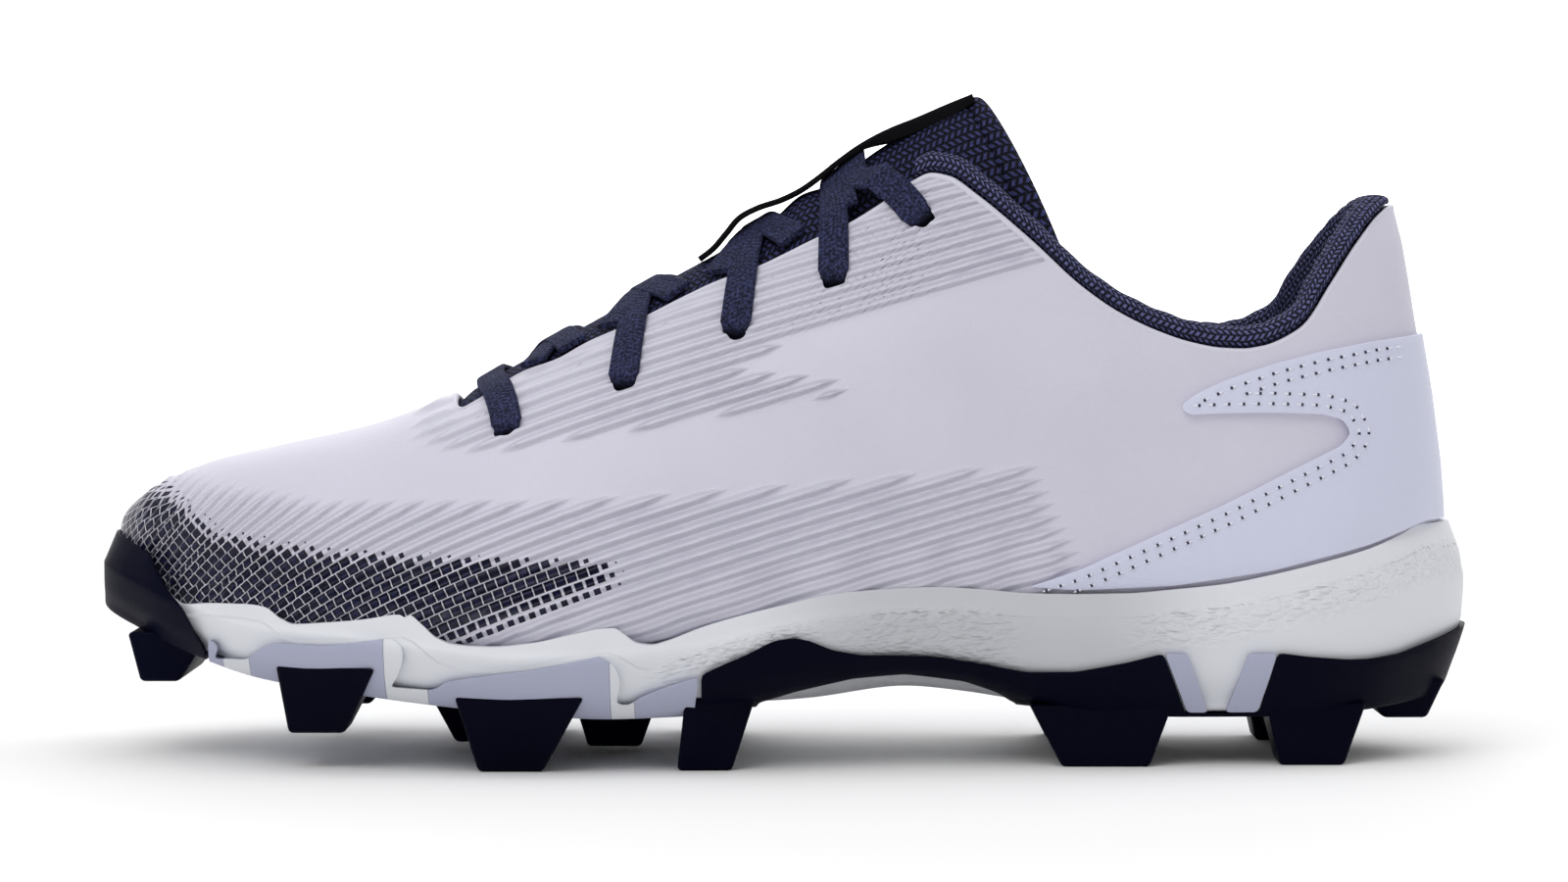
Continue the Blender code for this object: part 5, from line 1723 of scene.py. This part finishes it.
def build_stitches(context):
    rows, holes = [], []
    for depth in (1.8, 3.9):
        line = inset(COUNTER[:21], depth)
        for part in split(line[line[:, 0] < 126.0]):
            for side in (-1, 1):
                rows.append(on_surface(part, side, GAP + OVERLAY_THICK + 0.02))
                holes.append(rows[-1][8:])
    pitch = size("stitch_pitch")
    thread = stitch_row("counter_thread", rows, pitch, (1.0, 0.24, 0.24), paint("thread"))
    # Dark beads in the needle holes: painted shade inside each hole
    needle = stitch_row("counter_needle_holes", holes, pitch, (0.42, 0.34, 0.34), paint("needle"))
    xs, zs = top_outline()
    keep = (xs > -64.0) & (xs < 24.0) & (zs > 72.5)
    places = np.stack((xs[keep] + 1.1, zs[keep] - 2.6), 1)
    eyestay = [on_surface(places, side, 0.03) for side in (-1, 1)]
    stay = stitch_row("eyestay_thread", eyestay, pitch * 0.8, (0.8, 0.22, 0.22), paint("seam"))
    add_piece(thread, "counter_thread", "synthetic_lilac")
    add_piece(needle, "counter_needle_holes", "synthetic_lilac")
    add_piece(stay, "eyestay_thread", "synthetic_white")


# Stage
def look_at(obj, target):
    direction = Vector(target) - obj.location
    obj.rotation_euler = direction.to_track_quat("-Z", "Y").to_euler()


def build_stage(context):
    reach = 6.0
    bend = []
    for t in np.linspace(0, np.pi / 2, 16):
        bend.append((2.0 + 1.2 * np.sin(t), 1.2 * (1 - np.cos(t))))
    profile = [(-reach, 0.0)] + bend + [(3.2, reach)]
    points = [(x, y, z) for x in (-reach, reach) for y, z in profile]
    count = len(profile)
    faces = [(i, i + count, i + count + 1, i + 1) for i in range(count - 1)]
    mesh = bpy.data.meshes.new("stage_floor")
    mesh.from_pydata(points, [], faces)
    floor = bpy.data.objects.new("stage_floor", mesh)
    context.scene.collection.objects.link(floor)
    mesh.polygons.foreach_set("use_smooth", np.ones(len(mesh.polygons), bool))
    paper = Paint("stage_paper", (0.92, 0.92, 0.92), 0.9)
    mesh.materials.append(paper.material)
    floor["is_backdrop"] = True
    world = context.scene.world or bpy.data.worlds.new("stage_world")
    context.scene.world = world
    world.use_nodes = True
    back = world.node_tree.nodes["Background"]
    back.inputs[0].default_value = (1.0, 1.0, 1.0, 1.0)
    back.inputs[1].default_value = 0.5
    lights = (
        ("key", (-0.6, -1.0, 1.4), (0.0, 0.0, 0.05), 1.2, 11.5),
        ("top", (0.15, 0.2, 1.6), (0.0, 0.0, 0.0), 1.6, 8.5),
        ("rim", (1.1, 0.5, 0.9), (0.05, 0.0, 0.06), 0.8, 2.5),
        ("back", (0.0, 1.4, 1.6), (0.0, 3.2, 0.9), 2.0, 90.0),
    )
    for name, place, target, wide, power in lights:
        data = bpy.data.lights.new(name, "AREA")
        data.shape = "SQUARE"
        data.size = wide
        data.energy = power
        lamp = bpy.data.objects.new(name, data)
        context.scene.collection.objects.link(lamp)
        lamp.location = place
        look_at(lamp, target)
    camera = bpy.data.cameras.new("camera")
    camera.lens = 104.5
    camera.sensor_width = 36.0
    camera.clip_start = 0.05
    camera.clip_end = 50.0
    eye = bpy.data.objects.new("camera", camera)
    context.scene.collection.objects.link(eye)
    eye.location = (0.0, -0.950, 0.104)
    look_at(eye, (0.0002, 0.0, 0.0647))
    context.scene.camera = eye
    context.scene.view_settings.view_transform = "Standard"


# Panel values
def colour_property(label, text, default):
    """A colour that the panel offers."""
    return bpy.props.FloatVectorProperty(
        name=label, description=text, subtype="COLOR", size=3, min=0.0, max=1.0, default=default
    )


def size_property(label, text, default):
    """A length that the panel offers, its default given in millimetres."""
    return bpy.props.FloatProperty(
        name=label, description=text, unit="LENGTH", min=0.1 * MM, default=default * MM
    )


class CleatSettings(bpy.types.PropertyGroup):
    """Sizes and colours that a user would change."""

    upper_rib_pitch: size_property(
        "Upper rib pitch", "Height from one rib below the laces to the next", 2.55
    )
    lower_rib_pitch: size_property(
        "Lower rib pitch", "Height from one rib of the forefoot to the next", 2.8
    )
    rib_height: size_property("Rib height", "How far the ribs stand out", 0.7)
    square_pitch: size_property(
        "Square pitch", "Distance from one printed square to the next", 2.3
    )
    square_row: size_property("Row height", "Height of one row of printed squares", 2.25)
    lace_width: size_property("Lace width", "Width of the flat laces", 6.5)
    stitch_pitch: size_property("Stitch pitch", "Length of one stitch with its hole", 3.0)
    upper: colour_property("Upper", "Smooth skin of the upper", rgb(204, 202, 216))
    overlay: colour_property("Heel overlay", "Pale overlay round the heel", rgb(205, 208, 228))
    ink: colour_property("Print", "Squares printed round the toe", rgb(26, 27, 56))
    lining: colour_property("Lining", "Inside of the shoe and sockliner", rgb(34, 36, 78))
    tongue_mesh: colour_property("Tongue mesh", "Yarn of the tongue's mesh", rgb(46, 48, 86))
    collar_mesh: colour_property("Collar mesh", "Yarn of the collar's mesh", rgb(80, 82, 120))
    lace: colour_property("Laces", "Lighter yarn of the laces", rgb(60, 64, 100))
    webbing: colour_property("Webbing", "Strap that holds the laces", rgb(9, 9, 14))
    foam: colour_property("Midsole", "Moulded midsole wall", rgb(218, 220, 226))
    dark_rubber: colour_property("Dark rubber", "Bumper, rear outsole and lugs", rgb(3, 4, 22))
    pale_rubber: colour_property(
        "Pale rubber", "Forefoot layer and heel bars", rgb(172, 175, 196)
    )
    thread: colour_property("Thread", "Stitches of the heel overlay", rgb(228, 228, 238))


# Operators
class CLEAT_OT_upper(bpy.types.Operator):
    """Build the ribbed, printed upper with its edge roll"""

    bl_idname = "cleat.upper"
    bl_label = "Upper"

    def execute(self, context):
        build_upper(context)
        return {"FINISHED"}


class CLEAT_OT_counter(bpy.types.Operator):
    """Build the heel overlay"""

    bl_idname = "cleat.counter"
    bl_label = "Heel overlay"

    def execute(self, context):
        build_counter(context)
        return {"FINISHED"}


class CLEAT_OT_collar(bpy.types.Operator):
    """Build the padded collar"""

    bl_idname = "cleat.collar"
    bl_label = "Collar"

    def execute(self, context):
        build_collar(context)
        return {"FINISHED"}


class CLEAT_OT_insole(bpy.types.Operator):
    """Build the sockliner"""

    bl_idname = "cleat.insole"
    bl_label = "Sockliner"

    def execute(self, context):
        build_insole(context)
        return {"FINISHED"}


class CLEAT_OT_tongue(bpy.types.Operator):
    """Build the padded mesh tongue"""

    bl_idname = "cleat.tongue"
    bl_label = "Tongue"

    def execute(self, context):
        build_tongue(context)
        return {"FINISHED"}


class CLEAT_OT_strap(bpy.types.Operator):
    """Build the webbing strap over the laces"""

    bl_idname = "cleat.strap"
    bl_label = "Strap"

    def execute(self, context):
        build_strap(context)
        return {"FINISHED"}


class CLEAT_OT_laces(bpy.types.Operator):
    """Build the laces and run them into the eyelets"""

    bl_idname = "cleat.laces"
    bl_label = "Laces"

    def execute(self, context):
        build_laces(context)
        return {"FINISHED"}


class CLEAT_OT_midsole(bpy.types.Operator):
    """Build the midsole wall"""

    bl_idname = "cleat.midsole"
    bl_label = "Midsole"

    def execute(self, context):
        build_midsole(context)
        return {"FINISHED"}


class CLEAT_OT_outsole(bpy.types.Operator):
    """Build bumper, outsole layers and lugs"""

    bl_idname = "cleat.outsole"
    bl_label = "Outsole"

    def execute(self, context):
        build_outsole(context)
        return {"FINISHED"}


class CLEAT_OT_stitches(bpy.types.Operator):
    """Sew the stitch rows of heel overlay and eyestay"""

    bl_idname = "cleat.stitches"
    bl_label = "Stitches"

    def execute(self, context):
        build_stitches(context)
        return {"FINISHED"}


class CLEAT_OT_stage(bpy.types.Operator):
    """Build floor, lights and camera"""

    bl_idname = "cleat.stage"
    bl_label = "Stage"

    def execute(self, context):
        build_stage(context)
        return {"FINISHED"}


class CLEAT_PT_panel(bpy.types.Panel):
    """Lists the build steps, sizes and colours in the 3D view's sidebar"""

    bl_idname = "CLEAT_PT_panel"
    bl_label = "Baseball cleat"
    bl_space_type = "VIEW_3D"
    bl_region_type = "UI"
    bl_category = "Cleat"

    def draw(self, context):
        for step_class in STEPS:
            self.layout.operator(step_class.bl_idname)
        for name in CleatSettings.__annotations__:
            self.layout.prop(context.scene.cleat, name)


STEPS = (
    CLEAT_OT_upper,
    CLEAT_OT_counter,
    CLEAT_OT_collar,
    CLEAT_OT_insole,
    CLEAT_OT_tongue,
    CLEAT_OT_strap,
    CLEAT_OT_laces,
    CLEAT_OT_midsole,
    CLEAT_OT_outsole,
    CLEAT_OT_stitches,
    CLEAT_OT_stage,
)
CLASSES = (CleatSettings, *STEPS, CLEAT_PT_panel)


def register():
    for item in CLASSES:
        bpy.utils.register_class(item)
    bpy.types.Scene.cleat = bpy.props.PointerProperty(type=CleatSettings)


def unregister():
    del bpy.types.Scene.cleat
    for item in reversed(CLASSES):
        bpy.utils.unregister_class(item)


def main():
    register()
    for step_class in STEPS:
        getattr(bpy.ops.cleat, step_class.bl_idname.split(".")[1])()
    sizes = {"cad": CAD_BOX, "visual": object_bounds()}
    plain = {key: [[float(v) for v in corner] for corner in box] for key, box in sizes.items()}


if __name__ == "__main__":
    main()
